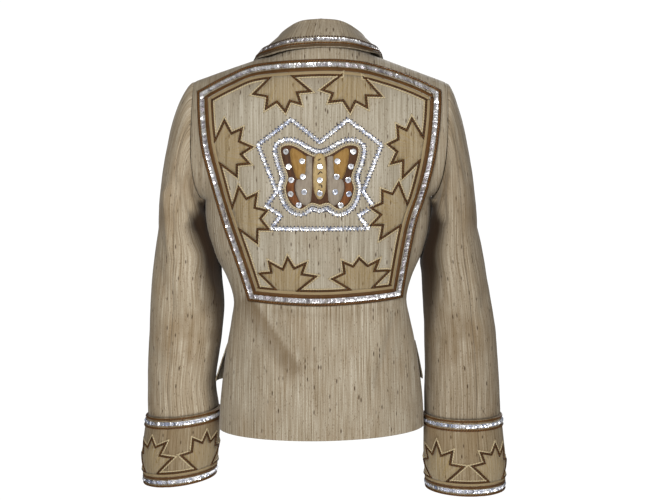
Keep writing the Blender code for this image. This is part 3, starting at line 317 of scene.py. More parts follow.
# Sleeve: stage 0 to 1 is the cap below the armhole, 1 to 2 the arm down to the cuff; turn 0 is outside and 90 behind
def sleevePoint(side, turn, stage):
    point = heldOff(side, looseSleevePoint(side, turn, stage), stage)
    if turn % 360.0 < 180.0:
        point.y -= sleeve["hollowDepth"] * hollowAt(turn, point.z) * math.sin(math.radians(turn)) ** 0.5
    return point


def looseSleevePoint(side, turn, stage):
    table = "sleeveLeft" if side > 0 else "sleeveRight"
    rows = tables[table][1]
    if stage > 1.0:
        return ringPoint(table, side, turn, mix(rows[0][0], rows[-1][0], stage - 1.0))
    start = armholePoint(side, turn)
    end = ringPoint(table, side, turn, rows[0][0])
    upper = (1 + math.cos(math.radians(turn))) / 2
    sideways = sleeve["sideways"] * math.sin(math.radians(turn))
    out = Vector((side * mix(*sleeve["out"], upper), sideways, mix(*sleeve["down"], upper)))
    pullOut = out * mix(sleeve["underFullness"], sleeve["fullness"][side], upper)
    pullDown = Vector((0.0, 0.0, -mix(sleeve["underPull"], sleeve["pull"], upper)))
    return hermite(start, pullOut, end, pullDown, stage)


def cuffPoint(side, turn, down):
    table = "cuffLeft" if side > 0 else "cuffRight"
    return ringPoint(table, side, turn, tables[table][1][0][0] - down)


def cuffLength(side):
    rows = tables["cuffLeft" if side > 0 else "cuffRight"][1]
    return rows[0][0] - rows[-1][0]


# Collar: u runs from end to end through the middle of the back, q from the neck seam over the fold to the free edge
def collarPoint(u, q):
    side = 1 if u >= 0 else -1
    seam, fold, edge = (Vector([tableValue("collar", name + axis, abs(u)) for axis in "XYZ"])
                        for name in ("seam", "fold", "edge"))
    for row in (seam, fold, edge):
        row.x *= side
    outward = Vector((edge.x - seam.x, edge.y - seam.y, 0.0)).normalized()
    seam.z -= collar["sunk"]
    edge += Vector((collar["edgeAside"], 0.0, collar["edgeTilt"] * edge.x))
    radius = collar["foldRadius"]
    centre = fold - Vector((0.0, 0.0, radius))
    if q < collar["foldStart"]:
        return seam.lerp(centre - outward * radius, q / collar["foldStart"])
    if q > collar["foldEnd"]:
        share = (q - collar["foldEnd"]) / (1.0 - collar["foldEnd"])
        return (centre + outward * radius).lerp(edge, share) + outward * collar["bulge"] * math.sin(math.pi * share)
    turn = math.pi * (q - collar["foldStart"]) / (collar["foldEnd"] - collar["foldStart"])
    return centre - outward * radius * math.cos(turn) + Vector((0.0, 0.0, radius * math.sin(turn)))


def onSurface(pointAt, u, v, sign, lift=0.0, stepU=0.002, stepV=0.002):
    point = pointAt(u, v)
    across = pointAt(u + stepU, v) - pointAt(u - stepU, v)
    along = pointAt(u, v + stepV) - pointAt(u, v - stepV)
    normal = across.cross(along).normalized() * sign
    return point + normal * lift, normal


def onCuff(side, turn, down, lift=0.0):
    return onSurface(lambda u, v: cuffPoint(side, u, v), turn, down, -side, lift, 2.0, 0.001)


def onCollar(u, q, lift=0.0):
    return onSurface(collarPoint, u, min(max(q, 0.003), 0.997), 1, lift)


print("surfaces ready")


class Shading:
    def __init__(self, name):
        self.material = bpy.data.materials.new(name)
        self.material.use_nodes = True
        self.tree = self.material.node_tree
        self.shader = self.tree.nodes["Principled BSDF"]

    def node(self, kind, **values):
        made = self.tree.nodes.new("ShaderNode" + kind)
        for key, value in values.items():
            if key.startswith("in_"):
                socket = made.inputs[key[3:].replace("_", " ")]
                self.put(socket, value)
            else:
                setattr(made, key, value)
        return made

    def put(self, socket, value):
        if isinstance(value, bpy.types.NodeSocket):
            self.tree.links.new(value, socket)
        else:
            socket.default_value = value

    def place(self, mapName="grain"):
        return self.node("UVMap", uv_map=mapName).outputs["UV"]

    def scaled(self, vector, scale, offset=(0.0, 0.0, 0.0)):
        made = self.node("Mapping")
        self.put(made.inputs["Vector"], vector)
        made.inputs["Scale"].default_value = scale
        made.inputs["Location"].default_value = offset
        return made.outputs["Vector"]

    def noise(self, vector, scale, detail, rough, offset=(0.0, 0.0, 0.0)):
        made = self.node("TexNoise", in_Vector=self.scaled(vector, scale, offset), in_Scale=1.0, in_Detail=detail,
                         in_Roughness=rough)
        return made.outputs["Fac"]

    def wave(self, vector, scale, direction="X", distortion=0.0):
        made = self.node("TexWave", bands_direction=direction, in_Vector=self.scaled(vector, scale), in_Scale=1.0,
                         in_Distortion=distortion, in_Detail=1.0)
        return made.outputs["Fac"]

    # Crossed waves, for the threads of a weave
    def weave(self, vector, across, down):
        threads = (self.wave(vector, (across, 1.0, 1.0)), self.wave(vector, (1.0, down, 1.0), "Y"))
        return self.math("MULTIPLY", *threads)

    # Noise by the place in the object, for pieces without a grain
    def spots(self, scale, detail, rough):
        return self.noise(self.node("TexCoord").outputs["Object"], scale, detail, rough)

    # Scattered flecks: 1 inside a fleck, one in so many cells, of a size within its cell
    def flecks(self, vector, scale, share, size, offset=(0.0, 0.0, 0.0)):
        cells = self.node("TexVoronoi", in_Vector=self.scaled(vector, scale, offset), in_Scale=1.0, in_Randomness=1.0)
        chance = self.node("SeparateColor", in_Color=cells.outputs["Color"]).outputs["Red"]
        chosen = self.math("LESS_THAN", chance, share)
        near = self.remap(cells.outputs["Distance"], size, size * 0.45, 0.0, 1.0)
        return self.math("MULTIPLY", chosen, near)

    def math(self, operation, a, b=0.0):
        made = self.node("Math", operation=operation)
        self.put(made.inputs[0], a)
        self.put(made.inputs[1], b)
        return made.outputs[0]

    def total(self, *parts):
        whole = None
        for value, weight in parts:
            scaled = self.math("MULTIPLY", value, weight)
            whole = scaled if whole is None else self.math("ADD", whole, scaled)
        return whole

    def remap(self, value, low, high, toLow, toHigh):
        made = self.node("MapRange", clamp=True)
        self.put(made.inputs["Value"], value)
        for key, number in (("From Min", low), ("From Max", high), ("To Min", toLow), ("To Max", toHigh)):
            made.inputs[key].default_value = number
        return made.outputs["Result"]

    def blend(self, share, first, second):
        made = self.node("Mix", data_type="RGBA", blend_type="MIX")
        self.put(made.inputs[0], share)
        for socket, value in ((made.inputs[6], first), (made.inputs[7], second)):
            self.put(socket, value if isinstance(value, bpy.types.NodeSocket) else (*value, 1.0))
        return made.outputs[2]

    def ramp(self, value, stops):
        made = self.node("ValToRGB")
        self.put(made.inputs["Fac"], value)
        ramp = made.color_ramp
        while len(ramp.elements) < len(stops):
            ramp.elements.new(0.5)
        for element, (place, colour) in zip(ramp.elements, stops):
            element.position = place
            element.color = (*colour, 1.0)
        return made.outputs["Color"]

    def bump(self, height, strength, distance):
        made = self.node("Bump", in_Strength=strength, in_Distance=distance, in_Height=height)
        self.put(self.shader.inputs["Normal"], made.outputs["Normal"])

    def finish(self, colour, roughness, **plain):
        self.put(self.shader.inputs["Base Color"], colour)
        self.put(self.shader.inputs["Roughness"], roughness)
        for key, value in plain.items():
            self.shader.inputs[key.replace("_", " ")].default_value = value
        return self.material


# Slubbed silk tweed: fine upright stripes in several tones, thick and thin yarns, and dark flecks
plainTweed = {"worn": 0.60, "brown": (0.215, 0.140, 0.066), "fleck": (0.050, 0.024, 0.008),
              "small": (0.120, 0.072, 0.032)}
# A look's shade colour is painted shade, laid on by the share that a piece carries in its second map
tweedLooks = {
    "tweed": {"tones": ((0.189, 0.141, 0.086), (0.290, 0.233, 0.157), (0.352, 0.299, 0.220), (0.493, 0.436, 0.339)),
              "shift": 0.0, "paintedShade": (0.120, 0.076, 0.034), "worn": 0.40},
    "panelTweed": {"tones": ((0.225, 0.184, 0.126), (0.306, 0.265, 0.195), (0.368, 0.324, 0.247), (0.455, 0.408, 0.326)),
                   "shift": 3.1, "paintedShade": (0.110, 0.074, 0.036), "worn": 0.25, "fleck": (0.055, 0.028, 0.012),
                   "small": (0.135, 0.092, 0.050)},
    "sleeveTweed": {"tones": ((0.205, 0.150, 0.088), (0.320, 0.250, 0.162), (0.385, 0.318, 0.225), (0.540, 0.465, 0.350)),
                    "shift": 7.7, "paintedShade": (0.020, 0.009, 0.002)},
    # The collar's tones are darker than the tweed's: painted shade over the collar
    "collarTweed": {"tones": ((0.150, 0.110, 0.066), (0.225, 0.178, 0.118), (0.275, 0.230, 0.165), (0.380, 0.330, 0.250)),
                    "shift": 11.9, "worn": 0.30, "brown": (0.150, 0.098, 0.046), "small": (0.100, 0.060, 0.026)},
    "cuffTweed": {"tones": ((0.138, 0.094, 0.046), (0.213, 0.156, 0.088), (0.250, 0.191, 0.116), (0.340, 0.276, 0.184)),
                  "shift": 9.3},
    "leafTweed": {"tones": ((0.172, 0.124, 0.064), (0.270, 0.206, 0.122), (0.308, 0.245, 0.157), (0.380, 0.318, 0.220)),
                  "shift": 5.3, "worn": 0.25, "fleck": (0.110, 0.062, 0.022), "small": (0.170, 0.110, 0.048)},
}
# Scale, detail, roughness and share of each noise in the tone of the yarns
tweedNoises = (
    ((430.0, 9.0, 1.0), 2.0, 0.55, 0.46), ((1000.0, 22.0, 1.0), 1.0, 0.5, 0.24), ((70.0, 2.5, 1.0), 1.0, 0.5, 0.08),
    ((900.0, 420.0, 1.0), 1.0, 0.5, 0.16), ((24.0, 24.0, 1.0), 2.0, 0.6, 0.06),
)
tweedGrain = {
    "large": ((290.0, 78.0, 1.0), 0.092, 0.38), "largeDark": 0.92, "small": ((600.0, 190.0, 1.0), 0.165, 0.40),
    "smallDark": 0.75, "worn": (16.0, 9.0, 1.0), "wornFrom": 0.50, "wornTo": 0.72, "stops": (0.38, 0.465, 0.535, 0.62),
    "weave": (210.0, 180.0), "rays": (150.0, 6.0, 1.0), "rayColour": (0.30, 0.200, 0.050), "rayFrom": 0.54,
    "rayTo": 0.64, "rayShare": 0.75, "bump": 0.40, "bumpDepth": 0.0006,
}


def tweedMaterial(name, rays=False):
    look, grain = {**plainTweed, **tweedLooks[name]}, tweedGrain
    shade = Shading(name)
    place = shade.place()
    shift = (look["shift"], look["shift"] * 0.7, 0.0)
    yarns = [(shade.noise(place, scale, detail, rough, shift), share) for scale, detail, rough, share in tweedNoises]
    streaks = yarns[0][0]
    colour = shade.ramp(shade.total(*yarns), tuple(zip(grain["stops"], look["tones"])))
    large, small = (shade.flecks(place, *grain[size], shift) for size in ("large", "small"))
    worn = shade.noise(place, grain["worn"], 3.0, 0.6, shift)
    worn = shade.remap(worn, grain["wornFrom"], grain["wornTo"], 0.0, look["worn"])
    colour = shade.blend(worn, colour, look["brown"])
    colour = shade.blend(shade.math("MULTIPLY", small, grain["smallDark"]), colour, look["small"])
    colour = shade.blend(shade.math("MULTIPLY", large, grain["largeDark"]), colour, look["fleck"])
    weave = shade.weave(place, *grain["weave"])
    height = shade.total((streaks, 1.6), (weave, 0.5), (large, 0.7))
    if rays:
        lines = shade.noise(shade.place("rays"), grain["rays"], 1.0, 0.5)
        lines = shade.remap(lines, grain["rayFrom"], grain["rayTo"], 0.0, grain["rayShare"])
        colour = shade.blend(lines, colour, grain["rayColour"])
        height = shade.math("ADD", height, lines)
    # Painted shade: the X of the second map gives the share of the look's shade colour
    if "paintedShade" in look:
        paintedShade = shade.node("SeparateXYZ", in_Vector=shade.place("rays")).outputs["X"]
        colour = shade.blend(paintedShade, colour, look["paintedShade"])
    shade.bump(height, grain["bump"], grain["bumpDepth"])
    rough = shade.remap(streaks, 0.3, 0.7, 0.92, 0.70)
    return shade.finish(colour, rough, Sheen_Weight=0.10, Sheen_Roughness=0.45, Specular_IOR_Level=0.22)


# Twisted cord and ribbed ribbon, by length along and turn round: lighter on the ridges as a painted highlight and
# darker in the grooves as painted shade, dimmed in random patches
trimLooks = {
    "darkCord": {"dark": (0.034, 0.011, 0.001), "light": (0.205, 0.088, 0.018), "rough": 0.55},
    "darkRibbon": {"dark": (0.040, 0.014, 0.002), "light": (0.190, 0.086, 0.020), "rough": 0.50},
    "tanRibbon": {"dark": (0.250, 0.175, 0.085), "light": (0.400, 0.312, 0.178), "rough": 0.60},
    "leafCord": {"dark": (0.020, 0.007, 0.001), "light": (0.135, 0.055, 0.008), "rough": 0.60},
    "creamCord": {"dark": (0.330, 0.255, 0.140), "light": (0.640, 0.530, 0.340), "rough": 0.60},
    # Dark tones, partly the lip's own brown and partly painted shade along the collar's edge
    "lipRibbon": {"dark": (0.040, 0.020, 0.007), "light": (0.150, 0.094, 0.042), "rough": 0.60},
}


def trimMaterial(name, twist):
    look = trimLooks[name]
    shade = Shading(name)
    place = shade.place()
    if twist:
        ridges = shade.wave(place, (60.0, 150.0, 1.0), "DIAGONAL", 0.6)
    else:
        ridges = shade.wave(place, (1.0, 260.0, 1.0), "Y", 0.4)
    worn = shade.noise(place, (40.0, 40.0, 1.0), 3.0, 0.6)
    share = shade.math("MULTIPLY", ridges, shade.remap(worn, 0.35, 0.7, 0.45, 1.0))
    # Painted highlight on the ridges and painted shade between them
    colour = shade.blend(share, look["dark"], look["light"])
    shade.bump(ridges, 0.6, 0.0005)
    return shade.finish(colour, look["rough"], Sheen_Weight=0.02, Sheen_Roughness=0.4, Specular_IOR_Level=0.25)


# Sequins: silver plastic film with a faint blue or pink cast. Each takes its tone by its own map value, from a painted
# shade through the lit tone to near-white painted highlights
sequinLooks = {
    "silver": ((0.80, 0.82, 0.90), (0.26, 0.30, 0.42)), "lilacSilver": ((0.84, 0.80, 0.82), (0.30, 0.27, 0.30)),
    # A darker copy of the silver for the collar's sequins, painted shade over the collar's fall
    "smokeSilver": ((0.52, 0.47, 0.48), (0.12, 0.10, 0.10)),
}
polishedLooks = {
    "navyBead": ((0.012, 0.020, 0.060), (0.030, 0.045, 0.110), 0.20),
    "brownButton": ((0.060, 0.028, 0.014), (0.130, 0.066, 0.034), 0.25),
}
clothLooks = {
    "wingBrown": ((0.040, 0.015, 0.005), (0.085, 0.035, 0.012)),
    "wingOchre": ((0.225, 0.118, 0.024), (0.310, 0.180, 0.052)),
    "wingTaupe": ((0.215, 0.172, 0.128), (0.290, 0.242, 0.186)),
    "wingRust": ((0.110, 0.035, 0.008), (0.190, 0.070, 0.018)),
    "bodyTan": ((0.340, 0.232, 0.095), (0.430, 0.318, 0.155)),
    "darkThread": ((0.030, 0.014, 0.006), (0.060, 0.030, 0.012)),
}


def sequinMaterial(name, litTone, shaded):
    shade = Shading(name)
    own = shade.node("TexWhiteNoise", noise_dimensions="2D", in_Vector=shade.place())
    # Painted shade at the dark end of the ramp and painted highlights at its near-white end
    stops = ((0.0, shaded), (0.30, litTone), (0.62, (0.93, 0.93, 0.96)), (1.0, (0.98, 0.97, 0.94)))
    colour = shade.ramp(own.outputs["Value"], stops)
    rough = shade.remap(own.outputs["Value"], 0.0, 1.0, 0.34, 0.16)
    return shade.finish(colour, rough, Metallic=0.72, Specular_IOR_Level=0.6)


def polishedMaterial(name, first, second, rough):
    shade = Shading(name)
    spots = shade.spots((160.0, 90.0, 160.0), 3.0, 0.6)
    colour = shade.blend(shade.remap(spots, 0.35, 0.65, 0.0, 1.0), first, second)
    shade.bump(shade.spots((2200.0, 2200.0, 2200.0), 1.0, 0.5), 0.05, 0.0002)
    return shade.finish(colour, rough, Coat_Weight=0.4)


def plainCloth(name, first, second):
    shade = Shading(name)
    place = shade.place()
    yarn = shade.noise(place, (300.0, 60.0, 1.0), 2.0, 0.6)
    weave = shade.weave(place, 260.0, 260.0)
    colour = shade.blend(shade.remap(yarn, 0.3, 0.7, 0.0, 1.0), first, second)
    shade.bump(shade.math("ADD", yarn, weave), 0.3, 0.0004)
    return shade.finish(colour, 0.75, Sheen_Weight=0.2, Sheen_Roughness=0.4, Specular_IOR_Level=0.3)


materials = {name: tweedMaterial(name, name == "leafTweed") for name in tweedLooks}
materials.update({name: trimMaterial(name, name.endswith("Cord")) for name in trimLooks})
for build, looks in ((sequinMaterial, sequinLooks), (polishedMaterial, polishedLooks), (plainCloth, clothLooks)):
    materials.update({name: build(name, *look) for name, look in looks.items()})
print("materials ready,", len(materials))


def makePiece(name, points, faces, places, material, slotName, nodes=(), rays=None, smooth=True):
    mesh = bpy.data.meshes.new(name)
    mesh.from_pydata(points, [], faces)
    # The second map, rays, holds a leaf's rays on leaf pieces and the share of painted shade on other tweed pieces
    for mapName, values in (("grain", places), ("rays", rays)):
        if values is not None:
            layer = mesh.uv_layers.new(name=mapName)
            for loop in mesh.loops:
                layer.data[loop.index].uv = values[loop.vertex_index]
    mesh.materials.append(materials[material])
    if smooth:
        mesh.shade_smooth()
    piece = bpy.data.objects.new(name, mesh)
    bpy.context.scene.collection.objects.link(piece)
    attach(piece, "root")
    if nodes:
        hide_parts(*nodes)
    return piece


def thicken(piece, wall):
    solid = piece.modifiers.new("wall", "SOLIDIFY")
    solid.thickness = wall
    solid.offset = -1.0
    solid.use_even_offset = False


# Unevenness that cloth has everywhere, in metres
def clothLife(point, depth):
    slow = noise.noise(point * cloth["slowWaves"]) * depth
    quick = noise.noise(point * cloth["quickWaves"] + Vector((3.0, 1.0, 7.0))) * depth
    return slow + quick * cloth["quickShare"]


# A cloth wall on a grid: rows of points, moved along their normals by folds, life and rolled seams, and a share of
# painted shade in its second map where one is given
def clothGrid(name, pointAt, us, vs, sign, placeAt, material, slotName, nodes, seams="", foldAt=None,
              wall=cloth["wall"], life=0.0007, paintedShadeAt=None):
    rows = [[pointAt(u, v) for u in us] for v in vs]
    count = len(us)
    points = []
    for r, row in enumerate(rows):
        above, below = rows[min(r + 1, len(rows) - 1)], rows[max(r - 1, 0)]
        for c, point in enumerate(row):
            ahead, behind = row[min(c + 1, count - 1)], row[max(c - 1, 0)]
            normal = (ahead - behind).cross(above[c] - below[c]).normalized() * sign
            move = clothLife(point, life)
            if foldAt:
                move += foldAt(us[c], vs[r], point)
            edges = {"l": row[0], "r": row[-1], "b": rows[0][c], "t": rows[-1][c]}
            for seam in seams:
                away = (edges[seam] - point).length
                if away < cloth["seamReach"]:
                    move -= cloth["seamRoll"] * math.exp(-((away / cloth["seamWidth"]) ** 2))
            points.append(point + normal * move)
    faces = []
    for r in range(len(rows) - 1):
        for c in range(count - 1):
            a = r * count + c
            quad = (a, a + 1, a + 1 + count, a + count)
            faces.append(quad if sign > 0 else quad[::-1])
    places, paintedShade = ([valueAt(u, v, points[r * count + c]) for r, v in enumerate(vs) for c, u in enumerate(us)]
                    if valueAt else None for valueAt in (placeAt, paintedShadeAt))
    thicken(makePiece(name, points, faces, places, material, slotName, nodes, paintedShade), wall)


def edged(low, high, count, width=0.006):
    margin = (high - low) * width
    inner = spread(low + margin, high - margin, count)
    return [low, low + margin * 0.45, *inner, high - margin * 0.45, high]


bodyLook = {"columns": 104, "rows": 120, "frontColumns": 56, "seamGap": 0.00015, "sideStretch": 0.25,
            "shadeEnd": 0.008}


def bodyLevels():
    top = 2.0 - bodyLook["seamGap"] / 0.20
    return edged(0.0, top, bodyLook["rows"], 0.004)


# Grain by the length round the body, so that it isn't drawn out where the sides turn away
def bodyPlace(u, v, point):
    across = point.x / (tableValue("body", "halfWidth", point.z) + 0.004)
    return (point.x * (1.0 + bodyLook["sideStretch"] * across**4), point.z)


# Painted shade beside the folds of the back and under the panel's lower edge: from one place to another,
# width below and above the line, and share at both ends
backShades = (
    (0.1105, -0.3780, 0.0340, -0.4790, 0.0220, 0.0036, 0.74, 0.52),
    (0.0700, -0.3940, -0.0140, -0.4010, 0.0060, 0.0040, 0.26, 0.10),
    (0.0560, -0.4640, 0.0300, -0.4900, 0.0100, 0.0100, 0.30, 0.10),
    (-0.1170, -0.4080, -0.0860, -0.5050, 0.0030, 0.0075, 0.30, 0.22),
    (-0.0500, -0.3960, -0.1050, -0.3930, 0.0070, 0.0040, 0.18, 0.10),
    (0.0150, -0.4640, -0.0100, -0.4720, 0.0040, 0.0060, 0.16, 0.05),
)


def backShade(u, v, point):
    clear = 1.0
    for x0, z0, x1, z1, below, above, first, last in backShades:
        alongX, alongZ = x1 - x0, z1 - z0
        length = math.hypot(alongX, alongZ)
        share = ((point.x - x0) * alongX + (point.z - z0) * alongZ) / length**2
        away = ((point.x - x0) * alongZ - (point.z - z0) * alongX) / length
        past = max(-share, share - 1.0, 0.0) * length
        width = below if away < 0 else above
        soft = math.exp(-((away / width) ** 2) - (past / bodyLook["shadeEnd"]) ** 2)
        clear *= 1.0 - mix(first, last, min(max(share, 0.0), 1.0)) * soft
    return (1.0 - clear, 0.0)


sideEdge = 1.0 - bodyLook["seamGap"] / 0.17
clothGrid("backCloth", lambda u, v: bodyPoint(1, u, v), edged(-sideEdge, sideEdge, bodyLook["columns"]),
          bodyLevels(), -1, bodyPlace, "tweed", "tweed", ("back",), seams="lrt", paintedShadeAt=backShade)

# The right front laps over the left one below the break of the lapels
frontLook = {"overlap": 0.018, "breakZ": -0.272, "breakX": 0.010, "rollX": 0.066, "rollZ": -0.030, "over": 0.0031,
             "overFrom": 0.028, "overTo": 0.060, "breakHeight": 0.020}


def frontEdgeX(z):
    if z < frontLook["breakZ"]:
        opening = smoothStep(frontLook["breakZ"] - frontLook["breakHeight"], frontLook["breakZ"], z)
        return mix(-frontLook["overlap"], frontLook["breakX"], opening)
    if z < frontLook["rollZ"]:
        share = (z - frontLook["breakZ"]) / (frontLook["rollZ"] - frontLook["breakZ"])
        return mix(frontLook["breakX"], frontLook["rollX"], share)
    return mix(frontLook["rollX"], body["neckHalf"], min((z - frontLook["rollZ"]) / -frontLook["rollZ"], 1.0))


# The share across the fronts where x meets a target, found by halving
def shareAt(level, target, steps):
    low, high = -1.0, 1.0
    for _ in range(steps):
        middle = (low + high) / 2
        low, high = (middle, high) if bodyPoint(-1, middle, level).x < target else (low, middle)
    return low


@functools.lru_cache(maxsize=None)
def frontEdgeShare(side, level):
    share = 0.0
    for _ in range(8):
        share = side * shareAt(level, side * frontEdgeX(bodyPoint(-1, side * share, level).z), 18)
    return share


def frontLift(side, x):
    if side > 0:
        return 0.0
    return frontLook["over"] * (1.0 - smoothStep(frontLook["overFrom"], frontLook["overTo"], abs(x)))


for sideName, side in bothSides:
    def frontPoint(u, v, side=side):
        return bodyPoint(-1, side * mix(frontEdgeShare(side, v), sideEdge, u), v)

    clothGrid("frontCloth" + sideName, frontPoint, edged(0.0, 1.0, bodyLook["frontColumns"]), bodyLevels(), side,
              bodyPlace, "tweed", "tweed", ("front_" + sideName.lower(),), seams="rt",
              foldAt=lambda u, v, point, side=side: frontLift(side, point.x))
print("back and fronts")

sleeveLook = {"capRows": 46, "armRows": 74, "upperColumns": 56, "underColumns": 40, "radius": 0.056, "start": 0.002,
              "end": 2.0 - 0.0008, "seamGap": 0.15}

for sideName, side in bothSides:
    foldRows = [(a0 * 0.001, b0, a1 * 0.001, b1, width, depth) for a0, b0, a1, b1, width, depth in folds[side]]
    stages = edged(sleeveLook["start"], 1.0, sleeveLook["capRows"], 0.010)[:-3]
    stages += spread(0.99, sleeveLook["end"], sleeveLook["armRows"])
    for pieceName, low, high, columns in (
            ("Upper", sleeve["frontSeam"], sleeve["backSeam"], sleeveLook["upperColumns"]),
            ("Under", sleeve["backSeam"], sleeve["frontSeam"] + 360.0, sleeveLook["underColumns"])):
        def sleeveFold(u, v, point, rows=foldRows):
            turn = u if u < 180.0 else u - 360.0
            return foldsAt(rows, turn * 0.001, point.z) * smoothStep(0.0, 0.25, v)

        # Painted shade on the sleeves: darkest in the hollow against the body, and a little over each whole sleeve,
        # most on the right one
        clothGrid("sleeve" + pieceName + sideName, lambda u, v, side=side: sleevePoint(side, u, v),
                  edged(low + sleeveLook["seamGap"], high - sleeveLook["seamGap"], columns, 0.012), stages, -side,
                  lambda u, v, point: (math.radians(u) * sleeveLook["radius"], point.z + u * 0.0001), "sleeveTweed",
                  "sleeve_tweed", (f"sleeve_{pieceName}_{sideName}".lower(),), "lrbt", sleeveFold, life=0.0011,
                  paintedShadeAt=lambda u, v, point, side=side: (max(hollowAt(u, point.z), sleeve["paintedSideShade"][side]), 0.0))
    length = cuffLength(side)
    start = sleeve["backSeam"]
    clothGrid("cuffCloth" + sideName, lambda u, v, side=side: cuffPoint(side, u, v),
              edged(start + 0.05, start + 359.95, 132, 0.003), edged(length, 0.0, 44, 0.012), side,
              lambda u, v, point: (math.radians(u) * sleeveLook["radius"], -v), "cuffTweed", "sleeve_tweed",
              ("cuff_" + sideName.lower(),), seams="lrt", life=0.0004)
print("sleeves and cuffs")

collarLook = {"columns": 150, "rows": (
    0.0, 0.04, 0.10, 0.17, 0.24, 0.30, 0.35, 0.38, 0.41, 0.44, 0.475, 0.51, 0.54, 0.57, 0.60, 0.64,
    0.68, 0.72, 0.76, 0.80, 0.84, 0.88, 0.91, 0.94, 0.96, 0.98, 0.992, 1.0)}
# The collar's cloth takes the darker collar tweed, painted shade over it
clothGrid("collarCloth", collarPoint, edged(-1.0, 1.0, collarLook["columns"]), collarLook["rows"], 1,
          lambda u, v, point: (u * 0.150, v * 0.110), "collarTweed", "tweed", ("collar",), seams="lrt",
          wall=cloth["collarWall"], life=0.0004)


def isInside(outline, x, y):
    inside = False
    for index, point in enumerate(outline):
        before = outline[index - 1]
        if (point[1] > y) != (before[1] > y):
            if x < (before[0] - point[0]) * (y - point[1]) / (before[1] - point[1]) + point[0]:
                inside = not inside
    return inside


def edgeDistance(outline, x, y):
    best = 1.0
    for index, point in enumerate(outline):
        before = outline[index - 1]
        alongX, alongY = point[0] - before[0], point[1] - before[1]
        share = ((x - before[0]) * alongX + (y - before[1]) * alongY) / (alongX**2 + alongY**2 + 1e-12)
        share = min(max(share, 0.0), 1.0)
        best = min(best, math.hypot(x - before[0] - share * alongX, y - before[1] - share * alongY))
    return best


# Closed or open run of flat points with one at least every step, corners kept
def stepped(points, step, closed=True):
    run = []
    for index in range(len(points) if closed else len(points) - 1):
        start, end = points[index], points[(index + 1) % len(points)]
        count = max(1, round(math.hypot(end[0] - start[0], end[1] - start[1]) / step))
        run += [(mix(start[0], end[0], part / count), mix(start[1], end[1], part / count)) for part in range(count)]
    return run if closed else run + [points[-1]]


def areaOf(outline):
    return sum(outline[i - 1][0] * p[1] - p[0] * outline[i - 1][1] for i, p in enumerate(outline)) / 2


def leftTurning(outline):
    return outline if areaOf(outline) > 0 else outline[::-1]


# A piece cut to a flat outline and laid on a surface that onPlace(x, y, lift) gives
def laidCloth(name, outline, onPlace, lift, wall, grid, material, slotName, nodes=(), secondMapAt=None, placeAt=None,
              roll=0.0006, dome=0.0):
    outline = leftTurning(outline)
    xs, ys = [p[0] for p in outline], [p[1] for p in outline]
    flat = [Vector(p) for p in outline]
    for column in range(math.ceil((max(xs) - min(xs)) / grid) + 1):
        for row in range(math.ceil((max(ys) - min(ys)) / grid) + 1):
            x, y = min(xs) + (column + 0.5 * (row % 2)) * grid, min(ys) + row * grid
            if isInside(outline, x, y) and edgeDistance(outline, x, y) > grid * 0.45:
                flat.append(Vector((x, y)))
    result = delaunay_2d_cdt(flat, [], [list(range(len(outline)))], 1, 1e-7)
    flatPoints = [(p.x, p.y) for p in result[0]]
    points = []
    for x, y in flatPoints:
        near = edgeDistance(outline, x, y)
        rolled = roll * math.exp(-((near / cloth["rollWidth"]) ** 2))
        height = lift + wall - rolled + dome * smoothStep(0.0, cloth["domeWidth"], near)
        point, normal = onPlace(x, y)
        points.append(point + normal * (height + clothLife(point, 0.0003)))
    faces = [tuple(face) for face in result[2]]
    a, b, c = (points[index] for index in faces[0])
    outward = onPlace(*flatPoints[faces[0][0]])[1]
    if (b - a).cross(c - a).dot(outward) < 0:
        faces = [face[::-1] for face in faces]
    places = [placeAt(x, y) if placeAt else (x, y) for x, y in flatPoints]
    rays = [secondMapAt(x, y) for x, y in flatPoints] if secondMapAt else None
    thicken(makePiece(name, points, faces, places, material, slotName, nodes, rays), wall)


lapelLook = {"outline": ((0.0150, -0.268), (0.0665, -0.042), (0.0980, -0.062), (0.1020, -0.068), (0.1240, -0.082),
                         (0.1220, -0.120), (0.0980, -0.190), (0.0600, -0.245)), "gap": 0.0008, "lean": 0.24}
flapLook = {"start": 0.50, "end": 0.93, "topZ": -0.458, "length": 0.062, "flare": {1: 0.0120, -1: 0.0040},
            "frontFlare": 0.3, "gap": 0.0010}
for sideName, side in bothSides:
    outline = stepped([(side * x, z) for x, z in lapelLook["outline"]], 0.005)
    over = frontLook["over"] if side < 0 else 0.0
    laidCloth("lapel" + sideName, outline, lambda x, z: onBody(-1, x, z), lapelLook["gap"] + over,
              cloth["trimWall"], 0.006, "tweed", "tweed", ("lapel_" + sideName.lower(),),
              placeAt=lambda x, z, side=side: (x * 0.97 + side * z * lapelLook["lean"], z))

    def flapPoint(u, v, side=side):
        z = flapLook["topZ"] - flapLook["length"] * v
        share = side * mix(flapLook["start"], flapLook["end"], u)
        level = (z - body["hemZ"]) / (body["underarmZ"] - body["hemZ"])
        point = bodyPoint(-1, share, level)
        aside, above = bodyPoint(-1, share + nudge, level) - point, bodyPoint(-1, share, level + nudge) - point
        normal = aside.cross(above).normalized()
        stand = flapLook["flare"][side] * v * mix(flapLook["frontFlare"], 1.0, smoothStep(0.0, 1.0, u))
        return point + normal * (flapLook["gap"] + cloth["trimWall"] + stand)

    clothGrid("flap" + sideName, flapPoint, edged(0.0, 1.0, 30, 0.02), edged(1.0, 0.0, 20, 0.02), side,
              lambda u, v, point: (point.x, point.z), "tweed", "tweed", ("pocket_flap_" + sideName.lower(),),
              seams="lrb", wall=cloth["trimWall"], life=0.0004)
print("collar, lapels and flaps")

